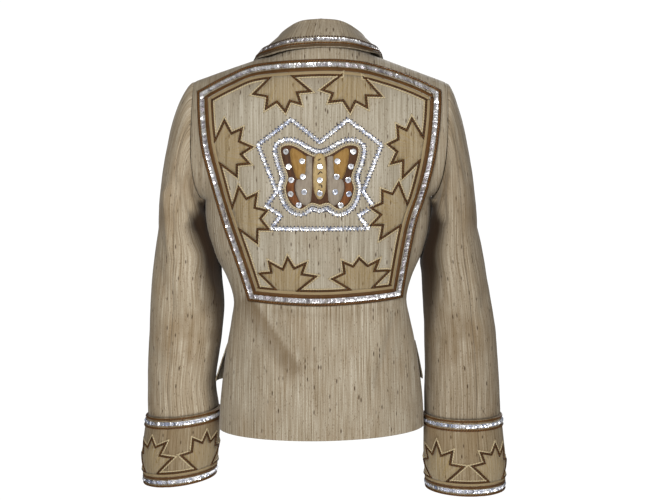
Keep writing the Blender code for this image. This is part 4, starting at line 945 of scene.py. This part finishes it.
panel = {
    "edges": (
        ((0.1895, -0.0590), (0.1430, -0.0350), (0.0960, -0.0180), (0.0045, -0.0108), (-0.0560, -0.0135),
         (-0.1020, -0.0245), (-0.1480, -0.0405)),
        ((-0.1840, -0.0575), (-0.1800, -0.1120), (-0.1725, -0.1670), (-0.1600, -0.2180), (-0.1440, -0.2680),
         (-0.1290, -0.3560)),
        ((-0.1255, -0.3790), (0.0000, -0.3860)),
        ((0.1125, -0.3820), (0.1330, -0.3140), (0.1550, -0.2470), (0.1720, -0.1840), (0.1830, -0.1350)),
    ),
    "grid": 0.0055, "middleZ": -0.184, "topShade": 0.45, "shadeFrom": -0.080, "shadeTo": -0.030,
}
panelTop = cloth["panelLift"] + cloth["panelWall"]


def smoothRun(points, perSpan):
    run = []
    for index in range(len(points) - 1):
        before, start = points[max(index - 1, 0)], points[index]
        end, after = points[index + 1], points[min(index + 2, len(points) - 1)]
        for part in range(perSpan):
            t = part / perSpan
            run.append(tuple(
                0.5 * (2 * start[k] + (end[k] - before[k]) * t
                       + (2 * before[k] - 5 * start[k] + 4 * end[k] - after[k]) * t**2
                       + (3 * start[k] - before[k] - 3 * end[k] + after[k]) * t**3) for k in (0, 1)))
    return run


def panelOutline():
    points = []
    for index, edge in enumerate(panel["edges"]):
        following = panel["edges"][(index + 1) % len(panel["edges"])][0]
        points += smoothRun(list(edge) + [following], 8)
    return leftTurning(points)


def moveOutline(outline, distance, closed=True):
    moved = []
    for index, point in enumerate(outline):
        before = outline[index - 1] if closed or index else point
        after = outline[(index + 1) % len(outline)] if closed or index < len(outline) - 1 else point
        first = unit(point[0] - before[0], point[1] - before[1]) if before != point else None
        second = unit(after[0] - point[0], after[1] - point[1]) if after != point else first
        first = first or second
        normal = unit(-first[1] - second[1], first[0] + second[0])
        reach = distance / max(-normal[0] * first[1] + normal[1] * first[0], 0.45)
        moved.append((point[0] + normal[0] * reach, point[1] + normal[1] * reach))
    return moved


def insetOutline(outline, distance):
    return [p for p in moveOutline(outline, distance) if edgeDistance(outline, *p) > abs(distance) * 0.97]


def onBack(x, z, lift=0.0):
    return onBody(1, x, z, lift)


outline = stepped(panelOutline(), 0.005)
# The panel's cloth is painted with shade toward its top, below the collar, by the share in its second map
laidCloth("panelCloth", outline, onBack, cloth["panelLift"], cloth["panelWall"], panel["grid"], "panelTweed",
          "panel_tweed", ("back_panel",),
          secondMapAt=lambda x, z: (panel["topShade"] * smoothStep(panel["shadeFrom"], panel["shadeTo"], z), 0.0))
print("back panel")


# Trims are swept along a line of points with normals: profile holds sideways place and height of each corner
def sweep(name, line, profile, material, slotName, nodes=(), closed=True):
    count, sides = len(line), len(profile)
    points, places, faces = [], [], []
    along = 0.0
    for index, (point, normal) in enumerate(line):
        before = line[index - 1][0] if closed or index else point
        after = line[(index + 1) % count][0] if closed or index < count - 1 else point
        inward, outward = point - before, after - point
        tangent = (inward.normalized() + outward.normalized()).normalized()
        side = normal.cross(tangent).normalized()
        reach = inward.normalized() if inward.length else outward.normalized()
        widen = 1.0 / max(math.sqrt(max(1.0 - reach.cross(tangent).length_squared, 0.0)), 0.5)
        along += inward.length if index else 0.0
        for number, (across, height) in enumerate(profile):
            points.append(point + side * across * widen + normal * height)
            places.append((number / sides * 0.02, along))
    spans = count if closed else count - 1
    for index in range(spans):
        here, there = index * sides, (index + 1) % count * sides
        for number in range(sides):
            after = (number + 1) % sides
            faces.append((here + number, there + number, there + after, here + after))
    if not closed:
        faces.append(tuple(range(sides)))
        faces.append(tuple(reversed(range((count - 1) * sides, count * sides))))
    return makePiece(name, points, faces, places, material, slotName, nodes)


def roundProfile(radius, height, sides=8, flat=0.9):
    turns = [2 * math.pi * index / sides for index in range(sides)]
    return [(radius * math.cos(turn), height + radius * flat * math.sin(turn)) for turn in turns]


def ribbonProfile(half, thick):
    return [(half, 0.0), (half, thick * 0.6), (half * 0.86, thick), (0.0, thick * 1.1),
            (-half * 0.86, thick), (-half, thick * 0.6), (-half, 0.0)]


# A closed run on the back, with a point at least every step
def lineOn(run, step, lift):
    return [onBack(x, y, lift) for x, y in stepped(run, step)]


# Rings of points round a centre: reach and height of each
def ringPoints(centre, tangent, side, normal, radius, rings, sides):
    turns = [2 * math.pi * index / sides for index in range(sides)]
    return [centre + (tangent * math.cos(turn) + side * math.sin(turn)) * radius * reach + normal * height
            for reach, height in rings for turn in turns]


# Every mesh of small parts is built in one go: each part is a list of points and faces
class Parts:
    def __init__(self, seed):
        self.points, self.faces, self.places = [], [], []
        self.random = random.Random(seed)

    def add(self, points, faces, place):
        start = len(self.points)
        self.points += points
        self.faces += [tuple(start + index for index in face) for face in faces]
        self.places += [place] * len(points)

    # Cupped round sequin, its face along a normal that is tipped a little
    def sequin(self, centre, tangent, normal, radius, tip, sides=10, cup=0.22):
        place = (self.random.random() * 40.0, self.random.random() * 40.0)
        side = normal.cross(tangent).normalized()
        tangent = side.cross(normal)
        turn = Matrix.Rotation(math.radians(tip + self.random.gauss(0.0, 7.0)), 3, side)
        turn = Matrix.Rotation(math.radians(self.random.gauss(0.0, 9.0)), 3, tangent) @ turn
        tangent, side, normal = turn @ tangent, turn @ side, turn @ normal
        points = ringPoints(centre, tangent, side, normal, radius, ((1.0, 0.0), (0.55, -cup * radius)), sides)
        points += [centre - normal * cup * radius, centre - normal * (cup * radius + 0.00025)]
        faces = []
        for index in range(sides):
            after = (index + 1) % sides
            faces.append((index, after, sides + after, sides + index))
            faces.append((sides + index, sides + after, 2 * sides))
            faces.append((after, index, 2 * sides + 1))
        self.add(points, faces, place)

    # Flat spangle with a hole through its middle
    def spangle(self, centre, normal, radius, sides=18, hole=0.20, thick=0.0004):
        tilt = Vector((self.random.gauss(0.0, 0.10), 0.0, self.random.gauss(0.0, 0.10)))
        normal = (normal + tilt).normalized()
        tangent = normal.orthogonal().normalized()
        side = normal.cross(tangent)
        rings = ((1.0, 0.0), (0.80, thick), (hole, thick * 0.4), (hole, -thick), (0.9, -thick))
        points = ringPoints(centre, tangent, side, normal, radius, rings, sides)
        faces = []
        for ring in range(len(rings)):
            here, beyond = ring * sides, (ring + 1) % len(rings) * sides
            for index in range(sides):
                after = (index + 1) % sides
                faces.append((here + index, here + after, beyond + after, beyond + index))
        self.add(points, faces, (self.random.random() * 40.0, self.random.random() * 40.0))

    def bead(self, centre, normal, radius, sides=6):
        tangent = normal.orthogonal().normalized()
        side = normal.cross(tangent)
        points = [centre + normal * radius]
        for height in (0.5, -0.5):
            for index in range(sides):
                angle = 2 * math.pi * (index + (0.5 if height < 0 else 0.0)) / sides
                across = (tangent * math.cos(angle) + side * math.sin(angle)) * radius * 0.87
                points.append(centre + normal * radius * height + across)
        points.append(centre - normal * radius)
        faces = []
        for index in range(sides):
            after = (index + 1) % sides
            faces.append((0, 1 + index, 1 + after))
            faces.append((1 + index, 1 + sides + index, 1 + after))
            faces.append((1 + after, 1 + sides + index, 1 + sides + after))
            faces.append((2 * sides + 1, 1 + sides + after, 1 + sides + index))
        self.add(points, faces, (self.random.random(), self.random.random()))

    # One stitch: a short length of thread, raised in its middle
    def stitch(self, start, end, normal, radius):
        along = (end - start).normalized()
        side = normal.cross(along).normalized()
        points = []
        for share, swell in ((0.0, 0.35), (0.25, 0.95), (0.75, 0.95), (1.0, 0.35)):
            middle = start.lerp(end, share) + normal * radius * (swell - 0.3)
            for angle in (0.0, 1.5708, 3.1416, 4.7124):
                points.append(middle + (side * math.cos(angle) + normal * math.sin(angle)) * radius * swell)
        faces = [(0, 1, 2, 3), (15, 14, 13, 12)]
        for ring in range(3):
            for index in range(4):
                after = (index + 1) % 4
                faces.append((ring * 4 + index, ring * 4 + 4 + index, ring * 4 + 4 + after, ring * 4 + after))
        self.add(points, faces, (self.random.random(), self.random.random()))

    def finish(self, name, material, slotName, nodes=(), smooth=False):
        return makePiece(name, self.points, self.faces, self.places, material, slotName, nodes, smooth=smooth)


def sequinRow(parts, line, radius, lift, tip=16.0, closed=True):
    count = len(line)
    for index in range(count if closed else count - 1):
        point, normal = line[index]
        tangent = (line[(index + 1) % count][0] - point).normalized()
        parts.sequin(point + normal * lift, tangent, normal, radius, tip)


def stitchRow(parts, line, radius, share=0.6, closed=True):
    count = len(line)
    for index in range(count if closed else count - 1):
        start, normal = line[index]
        end = line[(index + 1) % count][0]
        parts.stitch(start, start.lerp(end, share), normal, radius)


# Border of the panel, from its edge inward: cord, sequins, dark ribbon, tan ribbon
border = {
    "cordInset": 0.0028, "cordRadius": 0.0017, "sequinInset": 0.0088, "sequinRadius": 0.0036, "sequinPitch": 0.0027,
    "ribbonInset": 0.0150, "ribbonHalf": 0.0030, "tanInset": 0.0203, "tanHalf": 0.0024, "innerInset": 0.0240,
    "edgeInset": 0.0006, "edgeRadius": 0.0007,
}
panelLine = stepped(panelOutline(), 0.004)
for pieceName, inset, step, lift, profile, *look in (
        ("Cord", "cordInset", 0.003, 0.0, roundProfile(border["cordRadius"], 0.0007),
         "darkCord", "dark_cord", ("border_cord",)),
        ("Ribbon", "ribbonInset", 0.004, 0.0001, ribbonProfile(border["ribbonHalf"], 0.0008),
         "darkRibbon", "dark_band", ("border_band",)),
        ("TanRibbon", "tanInset", 0.004, 0.0001, ribbonProfile(border["tanHalf"], 0.0006), "tanRibbon", "leaf_cloth"),
        ("Edge", "edgeInset", 0.003, 0.0, roundProfile(border["edgeRadius"], 0.0002, 6), "lipRibbon", "leaf_cloth")):
    line = lineOn(insetOutline(panelLine, border[inset]), step, panelTop + lift)
    sweep("border" + pieceName, line, profile, *look)
parts = Parts(11)
sequinLine = lineOn(insetOutline(panelLine, border["sequinInset"]), border["sequinPitch"], panelTop)
sequinRow(parts, sequinLine, border["sequinRadius"], 0.0013)
parts.finish("borderSequins", "lilacSilver", "dark_band")
print("border")

# Leaves: a half outline by angle from the axis and reach from the heart, a little different on each leaf
leaf = {
    "heart": 0.012, "baseHalf": 0.0165,
    "points": ((76.0, 0.0445), (59.0, 0.0275), (41.0, 0.0415), (21.0, 0.0255), (0.0, 0.0390)),
    "places": ((0, 0.335), (0, 0.650), (1, 0.250), (1, 0.610), (2, 0.220), (2, 0.785), (3, 0.385), (3, 0.740)),
    "vary": 0.0012, "inset": 0.0012, "cordRadius": 0.0017, "tanRadius": 0.0012, "tanGap": 0.0029, "foot": 0.0020,
    "rayBack": 0.008, "rayTurn": 0.5,
}


leafCordProfile, leafTanProfile = roundProfile(leaf["cordRadius"], 0.0007), roundProfile(leaf["tanRadius"], 0.0005, 6)


def leafOutline(draw, acrossScale=1.0, upScale=1.0):
    def tip(angle, reach, side):
        turn = math.radians(angle + draw.gauss(0.0, 2.0))
        far = reach + draw.gauss(0.0, leaf["vary"])
        return (side * far * math.sin(turn) * acrossScale, (leaf["heart"] + far * math.cos(turn)) * upScale)

    foot = leaf["baseHalf"] * acrossScale
    right = [tip(angle, reach, 1) for angle, reach in leaf["points"]]
    left = [tip(angle, reach, -1) for angle, reach in reversed(leaf["points"][:-1])]
    return [(foot, 0.0), *right, *left, (-foot, 0.0)]


# The map of a leaf's rays: turn and reach round a place below its foot
def rayPlace(across, up):
    up += leaf["rayBack"]
    return (math.atan2(across, up) * leaf["rayTurn"], math.hypot(across, up))


# A leaf's cloth: within its cord all round, but carried under the ribbon at its foot
def leafCut(shape, inward):
    cut = moveOutline(leftTurning(shape), leaf["inset"])
    near = 2.5 * leaf["inset"]
    foot = [i for i, p in enumerate(cut) if min(math.dist(p, shape[0]), math.dist(p, shape[-1])) < near]
    down = leaf["inset"] + leaf["foot"]
    return [(p[0] - inward[0] * down, p[1] - inward[1] * down) if i in foot else p for i, p in enumerate(cut)]


# The inner line of one edge of the panel, from corner to corner
def innerEdge(number):
    inner = insetOutline(panelLine, border["innerInset"])
    corners = []
    for edge in (panel["edges"][number], panel["edges"][(number + 1) % 4]):
        away = [math.hypot(x - edge[0][0], y - edge[0][1]) for x, y in inner]
        corners.append(away.index(min(away)))
    start, end = corners
    count = len(inner)
    if (end - start) % count <= count / 2:
        return [inner[(start + step) % count] for step in range((end - start) % count + 1)]
    return [inner[(start - step) % count] for step in range((start - end) % count + 1)]


def runLengths(points):
    lengths = [0.0]
    for before, after in zip(points, points[1:]):
        lengths.append(lengths[-1] + math.hypot(after[0] - before[0], after[1] - before[1]))
    return lengths


def pointAlong(points, lengths, target):
    target = min(max(target, 0.0), lengths[-1])
    index = next(i for i in range(len(points) - 1) if lengths[i + 1] >= target)
    part = (target - lengths[index]) / (lengths[index + 1] - lengths[index])
    return (mix(points[index][0], points[index + 1][0], part), mix(points[index][1], points[index + 1][1], part))


draw = random.Random(5)
innerPath = []
leafShapes = []
for number in range(4):
    points = innerEdge(number)
    lengths = runLengths(points)
    places = sorted(share for edge, share in leaf["places"] if edge == number)
    reached = 0.0
    for share in places:
        target = share * lengths[-1]
        middle = pointAlong(points, lengths, target)
        ahead, behind = pointAlong(points, lengths, target + 0.02), pointAlong(points, lengths, target - 0.02)
        along = unit(ahead[0] - behind[0], ahead[1] - behind[1])
        inward = (-along[1], along[0])
        if -middle[0] * inward[0] + (panel["middleZ"] - middle[1]) * inward[1] < 0:
            inward = (-inward[0], -inward[1])
        shape = [(middle[0] + x * along[0] + y * inward[0], middle[1] + x * along[1] + y * inward[1])
                 for x, y in leafOutline(draw)]
        leafShapes.append((leaf["places"].index((number, share)) + 1, shape, middle, inward, along))
        innerPath += [p for p, l in zip(points, lengths) if reached <= l < target - leaf["baseHalf"]]
        innerPath += shape[::-1]
        reached = target + leaf["baseHalf"]
    innerPath += [p for p, l in zip(points, lengths) if l >= reached][:-1]


# The dark cord round the leaves, and a pale one beside it
run = stepped(leftTurning(innerPath), 0.002)
sweep("innerCordDark", [onBack(x, y, panelTop) for x, y in run], leafCordProfile, "leafCord", "dark_cord",
      ("inner_cord",))
beside = [p for p in moveOutline(run, leaf["tanGap"]) if edgeDistance(run, *p) > leaf["tanGap"] * 0.9]
sweep("innerCordTan", [onBack(x, y, panelTop) for x, y in beside], leafTanProfile, "creamCord", "leaf_cloth")
for number, shape, middle, inward, along in sorted(leafShapes, key=lambda item: item[0]):
    def secondMapAt(x, y, middle=middle, inward=inward, along=along):
        across = (x - middle[0]) * along[0] + (y - middle[1]) * along[1]
        return rayPlace(across, (x - middle[0]) * inward[0] + (y - middle[1]) * inward[1])

    inner = stepped(leafCut(shape, inward), 0.004)
    laidCloth("leafCloth" + str(number), inner, onBack, panelTop - 0.0002, 0.0008, 0.005, "leafTweed", "leaf_cloth",
              (f"leaf_{number}",), secondMapAt=secondMapAt, roll=0.0003, dome=0.0010)
print("leaves")

# Butterfly: wings in patches, a body, round spangles, and rows of small sequins round it
butterfly = {
    "middle": (0.0015, -0.1840),
    "wing": ((0.000, 0.029), (0.014, 0.033), (0.040, 0.047), (0.059, 0.043), (0.057, 0.022), (0.049, -0.002),
             (0.053, -0.020), (0.045, -0.043), (0.028, -0.052), (0.013, -0.043), (0.000, -0.046)),
    "body": ((0.000, 0.034), (0.007, 0.029), (0.010, 0.006), (0.009, -0.020), (0.004, -0.033), (0.000, -0.035)),
    "ochre": ((0.020, 0.029), (0.038, 0.041), (0.044, 0.036), (0.041, 0.016), (0.034, -0.004), (0.024, -0.002),
              (0.020, 0.012)),
    "taupe": ((0.011, 0.028), (0.020, 0.029), (0.021, 0.010), (0.024, -0.004), (0.034, -0.006), (0.036, -0.022),
              (0.027, -0.042), (0.013, -0.037)),
    "rust": ((0.037, -0.007), (0.046, -0.007), (0.049, -0.021), (0.042, -0.040), (0.030, -0.047), (0.029, -0.042),
             (0.038, -0.023)),
    "spangles": ((0.050, 0.036), (0.046, 0.014), (0.042, -0.006), (0.043, -0.027), (0.031, -0.044), (0.026, 0.022),
                 (0.025, -0.001), (0.023, -0.024)),
    "bodySpangles": ((0.0, 0.014), (0.0, -0.006), (0.0, -0.026)),
    "spangleRadius": 0.0044, "outlineGap": 0.0065, "sequinRadius": 0.0025, "sequinPitch": 0.0027,
    "beadRadius": 0.0012, "beadGap": 0.0010, "spangleLift": 0.0028, "bodyLift": 0.0040, "markLift": 0.0032,
    "frame": ((0.000, 0.050), (0.042, 0.084), (0.092, 0.046), (0.064, -0.024), (0.080, -0.046), (0.058, -0.060),
              (0.073, -0.080), (0.000, -0.080)),
    "marks": ((-0.002, 0.026, 0.003, 0.023), (0.003, 0.018, -0.003, 0.018), (-0.004, 0.004, -0.001, 0.007),
              (-0.001, 0.007, 0.003, 0.002), (-0.003, -0.013, 0.002, -0.013), (-0.003, -0.013, -0.003, -0.018),
              (0.003, -0.020, -0.002, -0.022)),
}


def onMiddle(run, side=1):
    return [(butterfly["middle"][0] + side * x, butterfly["middle"][1] + y) for x, y in run]


def mirrored(half, smooth=0):
    right = smoothRun(half, smooth) + [half[-1]] if smooth else list(half)
    return onMiddle(right + [(-x, y) for x, y in reversed(right) if x > 1e-6])


def patch(points, side):
    return onMiddle(smoothRun([*points, points[0]], 3), side)


wingTop = panelTop + 0.0008
wingEdge = mirrored(butterfly["wing"], 4)
laidCloth("butterflyWings", stepped(wingEdge, 0.003), onBack, panelTop - 0.0001, 0.0009, 0.0055, "wingBrown",
          "wing_cloth", ("butterfly_wings",), roll=0.0005, dome=0.0008)
for sideName, side in bothSides:
    for patchName, material in (("ochre", "wingOchre"), ("taupe", "wingTaupe"), ("rust", "wingRust")):
        outline = stepped(patch(butterfly[patchName], side), 0.003)
        laidCloth("wing" + patchName.capitalize() + sideName, outline, onBack, wingTop + 0.0006, 0.0006, 0.0055,
                  material, "wing_cloth", roll=0.0004)
laidCloth("butterflyBody", stepped(mirrored(butterfly["body"], 4), 0.003), onBack, wingTop + 0.0008, 0.0010, 0.0045,
          "bodyTan", "body_cloth", ("butterfly_body",), dome=0.0012)

tanEdge = lineOn(moveOutline(stepped(wingEdge, 0.003)[::-1], 0.0012), 0.003, panelTop + 0.0002)
sweep("wingEdging", tanEdge, roundProfile(0.0012, 0.0006, 6), "creamCord", "leaf_cloth")

sequins, beads = Parts(21), Parts(22)
outer = insetOutline(leftTurning(stepped(wingEdge, 0.002)), -butterfly["outlineGap"])
for run in (outer, mirrored(butterfly["frame"])):
    line = lineOn(run, butterfly["sequinPitch"], panelTop)
    sequinRow(sequins, line, butterfly["sequinRadius"], 0.0010, tip=14.0)
    count = len(line)
    for index, (point, normal) in enumerate(line):
        tangent = (line[(index + 1) % count][0] - point).normalized()
        side = normal.cross(tangent)
        reach = (butterfly["sequinRadius"] + butterfly["beadGap"]) * (1 if index % 2 else -1)
        beads.bead(point + side * reach + normal * 0.0008, normal, butterfly["beadRadius"])
sequins.finish("butterflySequins", "silver", "dark_band")
beads.finish("butterflyBeads", "navyBead", "dark_band", smooth=True)

spangles, marks = Parts(23), Parts(24)
both = [(side * x, y) for x, y in butterfly["spangles"] for side in (1, -1)]
for run, lift in ((both, butterfly["spangleLift"]), (butterfly["bodySpangles"], butterfly["bodyLift"])):
    for x, y in onMiddle(run):
        spangles.spangle(*onBack(x, y, wingTop + lift), butterfly["spangleRadius"])
spangles.finish("butterflySpangles", "silver", "dark_band")
for x0, y0, x1, y1 in butterfly["marks"]:
    start, end = (onBack(x, y, wingTop + butterfly["markLift"]) for x, y in onMiddle(((x0, y0), (x1, y1))))
    marks.stitch(start[0], end[0], start[1], 0.0008)
marks.finish("butterflyMarks", "darkThread", "dark_cord", smooth=True)
print("butterfly")

cuffLook = {
    "upperCord": 0.0022, "sequins": 0.0096, "lowerCord": 0.0168, "innerCord": 0.0235, "tanRibbon": 0.0196,
    "darkRibbon": 0.0150, "hemSequins": 0.0088, "hemCord": 0.0020, "radius": 0.0580, "acrossScale": 0.90,
    "upScale": 1.18, "steps": 144,
}
for sideName, side in bothSides:
    length = cuffLength(side)
    lower = sideName.lower()

    def ringLine(down, count=cuffLook["steps"], side=side):
        return [onCuff(side, -side * 360.0 * index / count, down) for index in range(count)]

    cordProfile = roundProfile(0.0016, 0.0010)
    for pieceName, down, profile, *look in (
            ("UpperCord", cuffLook["upperCord"], cordProfile, "darkCord", "dark_cord", ("cuff_band_upper_" + lower,)),
            ("LowerCord", cuffLook["lowerCord"], cordProfile, "darkCord", "dark_cord", ("cuff_band_lower_" + lower,)),
            ("HemRibbon", length - cuffLook["darkRibbon"], ribbonProfile(0.0018, 0.0009), "darkRibbon", "dark_cord",
             ("cuff_hem_band_" + lower,)),
            ("TanRibbon", length - cuffLook["tanRibbon"], ribbonProfile(0.0019, 0.0007), "tanRibbon", "leaf_cloth"),
            ("HemCord", length - cuffLook["hemCord"], roundProfile(0.0015, 0.0008), "darkCord", "dark_cord")):
        sweep("cuff" + pieceName + sideName, ringLine(down), profile, *look)
    parts = Parts(31 + side)
    for down in (cuffLook["sequins"], length - cuffLook["hemSequins"]):
        sequinRow(parts, ringLine(down, 136), 0.0032, 0.0013)
    parts.finish("cuffSequins" + sideName, "silver", "dark_cord")

    # Flat map of the cuff: x runs round it in metres and y up from the inner cord
    def onFlat(x, y, lift=0.0, side=side, length=length):
        return onCuff(side, -side * math.degrees(x / cuffLook["radius"]), length - cuffLook["innerCord"] - y, lift)

    draw = random.Random(40 + side)
    around = 2 * math.pi * cuffLook["radius"]
    path = []
    for number in range(4):
        middle = around * (number + 0.5) / 4 - around / 2
        placed = [(middle + x, y) for x, y in leafOutline(draw, cuffLook["acrossScale"], cuffLook["upScale"])]
        path += placed[::-1]
        inner = stepped(leafCut(placed, (0.0, 1.0)), 0.004)

        laidCloth(f"cuffLeaf{sideName}{number + 1}", inner, onFlat, -0.0002, 0.0008, 0.005, "leafTweed", "leaf_cloth",
                  (f"cuff_leaf_{number + 1}_{lower}",), lambda x, y, middle=middle: rayPlace(x - middle, y),
                  roll=0.0003, dome=0.0010)
    run = stepped(path + [(path[0][0] + around, path[0][1])], 0.002, False)[:-1]
    sweep("cuffInnerCord" + sideName, [onFlat(x, y) for x, y in run], leafCordProfile, "leafCord", "dark_cord")
    beside = moveOutline(run, leaf["tanGap"], False)[1:-1]
    sweep("cuffInnerTan" + sideName, [onFlat(x, y) for x, y in beside], leafTanProfile, "creamCord", "leaf_cloth")
print("cuff trims")

collarTrim = {"stitches": 0.842, "sequins": 0.884, "cord": 0.938, "lip": 0.972, "reach": 0.985,
              "stitchCount": 78, "sequinCount": 150, "cordCount": 120}


def collarLine(q, count, lift=0.0):
    return [onCollar(u, q, lift) for u in spread(-collarTrim["reach"], collarTrim["reach"], count)]


parts = Parts(51)
stitchRow(parts, collarLine(collarTrim["stitches"], collarTrim["stitchCount"], 0.0007), 0.0015, 0.55, closed=False)
parts.finish("collarStitches", "darkThread", "dark_cord", smooth=True)
parts = Parts(52)
# The collar's sequins take a darker silver, painted shade over the collar's fall
sequinRow(parts, collarLine(collarTrim["sequins"], collarTrim["sequinCount"]), 0.0027, 0.0013, closed=False)
parts.finish("collarSequins", "smokeSilver", "dark_cord")
sweep("collarCord", collarLine(collarTrim["cord"], collarTrim["cordCount"]), roundProfile(0.0015, 0.0009), "darkCord",
      "dark_cord", closed=False)
sweep("collarLip", collarLine(collarTrim["lip"], collarTrim["cordCount"], 0.0001), ribbonProfile(0.0018, 0.0007),
      "lipRibbon", "leaf_cloth", closed=False)
print("collar trims")

# Buttons: turned discs with a rim and a dished middle, sewn on with crossed thread
button = {
    "rows": (9, 7, 5), "sides": 40, "lift": 0.0016, "reach": 0.0022, "threadLift": 0.0023, "threadRadius": 0.0006,
    "profile": ((0.0045, 0.0022), (0.0066, 0.0026), (0.0078, 0.0037), (0.0094, 0.0041), (0.0109, 0.0034),
                (0.0115, 0.0020), (0.0108, 0.0006), (0.0090, 0.0), (0.0030, 0.0), (0.0030, -0.0012)),
}
for number, row in enumerate(button["rows"], start=1):
    level = row / 12
    seat, normal = onSurface(lambda u, v: bodyPoint(-1, u, v), shareAt(level, 0.0, 20), level, 1)
    centre = seat + normal * (frontLook["over"] + button["lift"])
    tangent = Vector((1.0, 0.0, 0.0)) - normal * normal.x
    tangent.normalize()
    upward = normal.cross(tangent)
    sides, rings = button["sides"], len(button["profile"])
    points = ringPoints(centre, tangent, upward, normal, 1.0, button["profile"], sides)
    faces = []
    for ring in range(rings - 1):
        here, beyond = ring * sides, (ring + 1) * sides
        for index in range(sides):
            after = (index + 1) % sides
            faces.append((here + after, here + index, beyond + index, beyond + after))
    faces += [tuple(range(sides)), tuple(reversed(range((rings - 1) * sides, rings * sides)))]
    places = [(p.x, p.z) for p in points]
    makePiece(f"button{number}", points, faces, places, "brownButton", "button", (f"button_{number}",))
    threads = Parts(60 + number)
    for x, y in ((1.0, 1.0), (1.0, -1.0)):
        reach, above = (tangent * x + upward * y) * button["reach"], normal * button["threadLift"]
        threads.stitch(centre - reach + above, centre + reach + above, normal, button["threadRadius"])
    threads.finish(f"buttonThread{number}", "darkThread", "dark_cord", smooth=True)
print("buttons")

for sideName, side in bothSides:
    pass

stage = {
    "floorZ": -1.36, "camera": (-0.0215, 2.24, -0.071), "pitch": 6.03, "lens": 76.25,
    "lights": (("keyLight", (0.70, 2.80, 0.45), 0.8, 69.0), ("fillLight", (-1.60, 2.30, 0.10), 1.4, 34.0),
               ("topLight", (0.20, 0.30, 1.90), 1.6, 2.0), ("frontLight", (-0.70, -2.40, 0.80), 1.4, 50.0)),
    "aim": (0.0, 0.0, -0.30), "sky": 0.14, "seenSky": 1.05, "floorRadius": 0.80,
}


def paleMaterial(name, colour, glow):
    shade = Shading(name)
    mottled = shade.spots((3.0, 3.0, 3.0), 2.0, 0.5)
    tone = shade.blend(mottled, colour, tuple(channel * 0.99 for channel in colour))
    shade.put(shade.shader.inputs["Emission Color"], (*colour, 1.0))
    return shade.finish(tone, 0.9, Emission_Strength=glow)


bpy.ops.mesh.primitive_circle_add(vertices=64, radius=stage["floorRadius"], fill_type="NGON",
                                  location=(0.0, 0.0, stage["floorZ"]))
floor = bpy.context.object
floor.name = "floor"
floor.data.materials.append(paleMaterial("paleFloor", (0.92, 0.92, 0.92), 0.62))

world = bpy.data.worlds.new("studio")
world.use_nodes = True
bpy.context.scene.world = world
tree = world.node_tree
background, seen = tree.nodes["Background"], tree.nodes.new("ShaderNodeBackground")
for node, strength in ((background, stage["sky"]), (seen, stage["seenSky"])):
    node.inputs["Color"].default_value = (1.0, 1.0, 1.0, 1.0)
    node.inputs["Strength"].default_value = strength
choose = tree.nodes.new("ShaderNodeMixShader")
path = tree.nodes.new("ShaderNodeLightPath")
tree.links.new(path.outputs["Is Camera Ray"], choose.inputs[0])
tree.links.new(background.outputs[0], choose.inputs[1])
tree.links.new(seen.outputs[0], choose.inputs[2])
tree.links.new(choose.outputs[0], tree.nodes["World Output"].inputs["Surface"])

for lightName, place, size, power in stage["lights"]:
    lamp = bpy.data.lights.new(lightName, "AREA")
    lamp.size = size
    lamp.energy = power
    light = bpy.data.objects.new(lightName, lamp)
    light.location = place
    light.rotation_euler = (Vector(place) - Vector(stage["aim"])).to_track_quat("Z", "Y").to_euler()
    bpy.context.scene.collection.objects.link(light)

cameraData = bpy.data.cameras.new("camera")
cameraData.lens = stage["lens"]
cameraData.sensor_width = 36.0
camera = bpy.data.objects.new("camera", cameraData)
camera.location = stage["camera"]
camera.rotation_euler = (math.radians(90.0 - stage["pitch"]), 0.0, math.radians(180.0))
bpy.context.scene.collection.objects.link(camera)
bpy.context.scene.camera = camera
bpy.context.scene.view_settings.view_transform = "Standard"
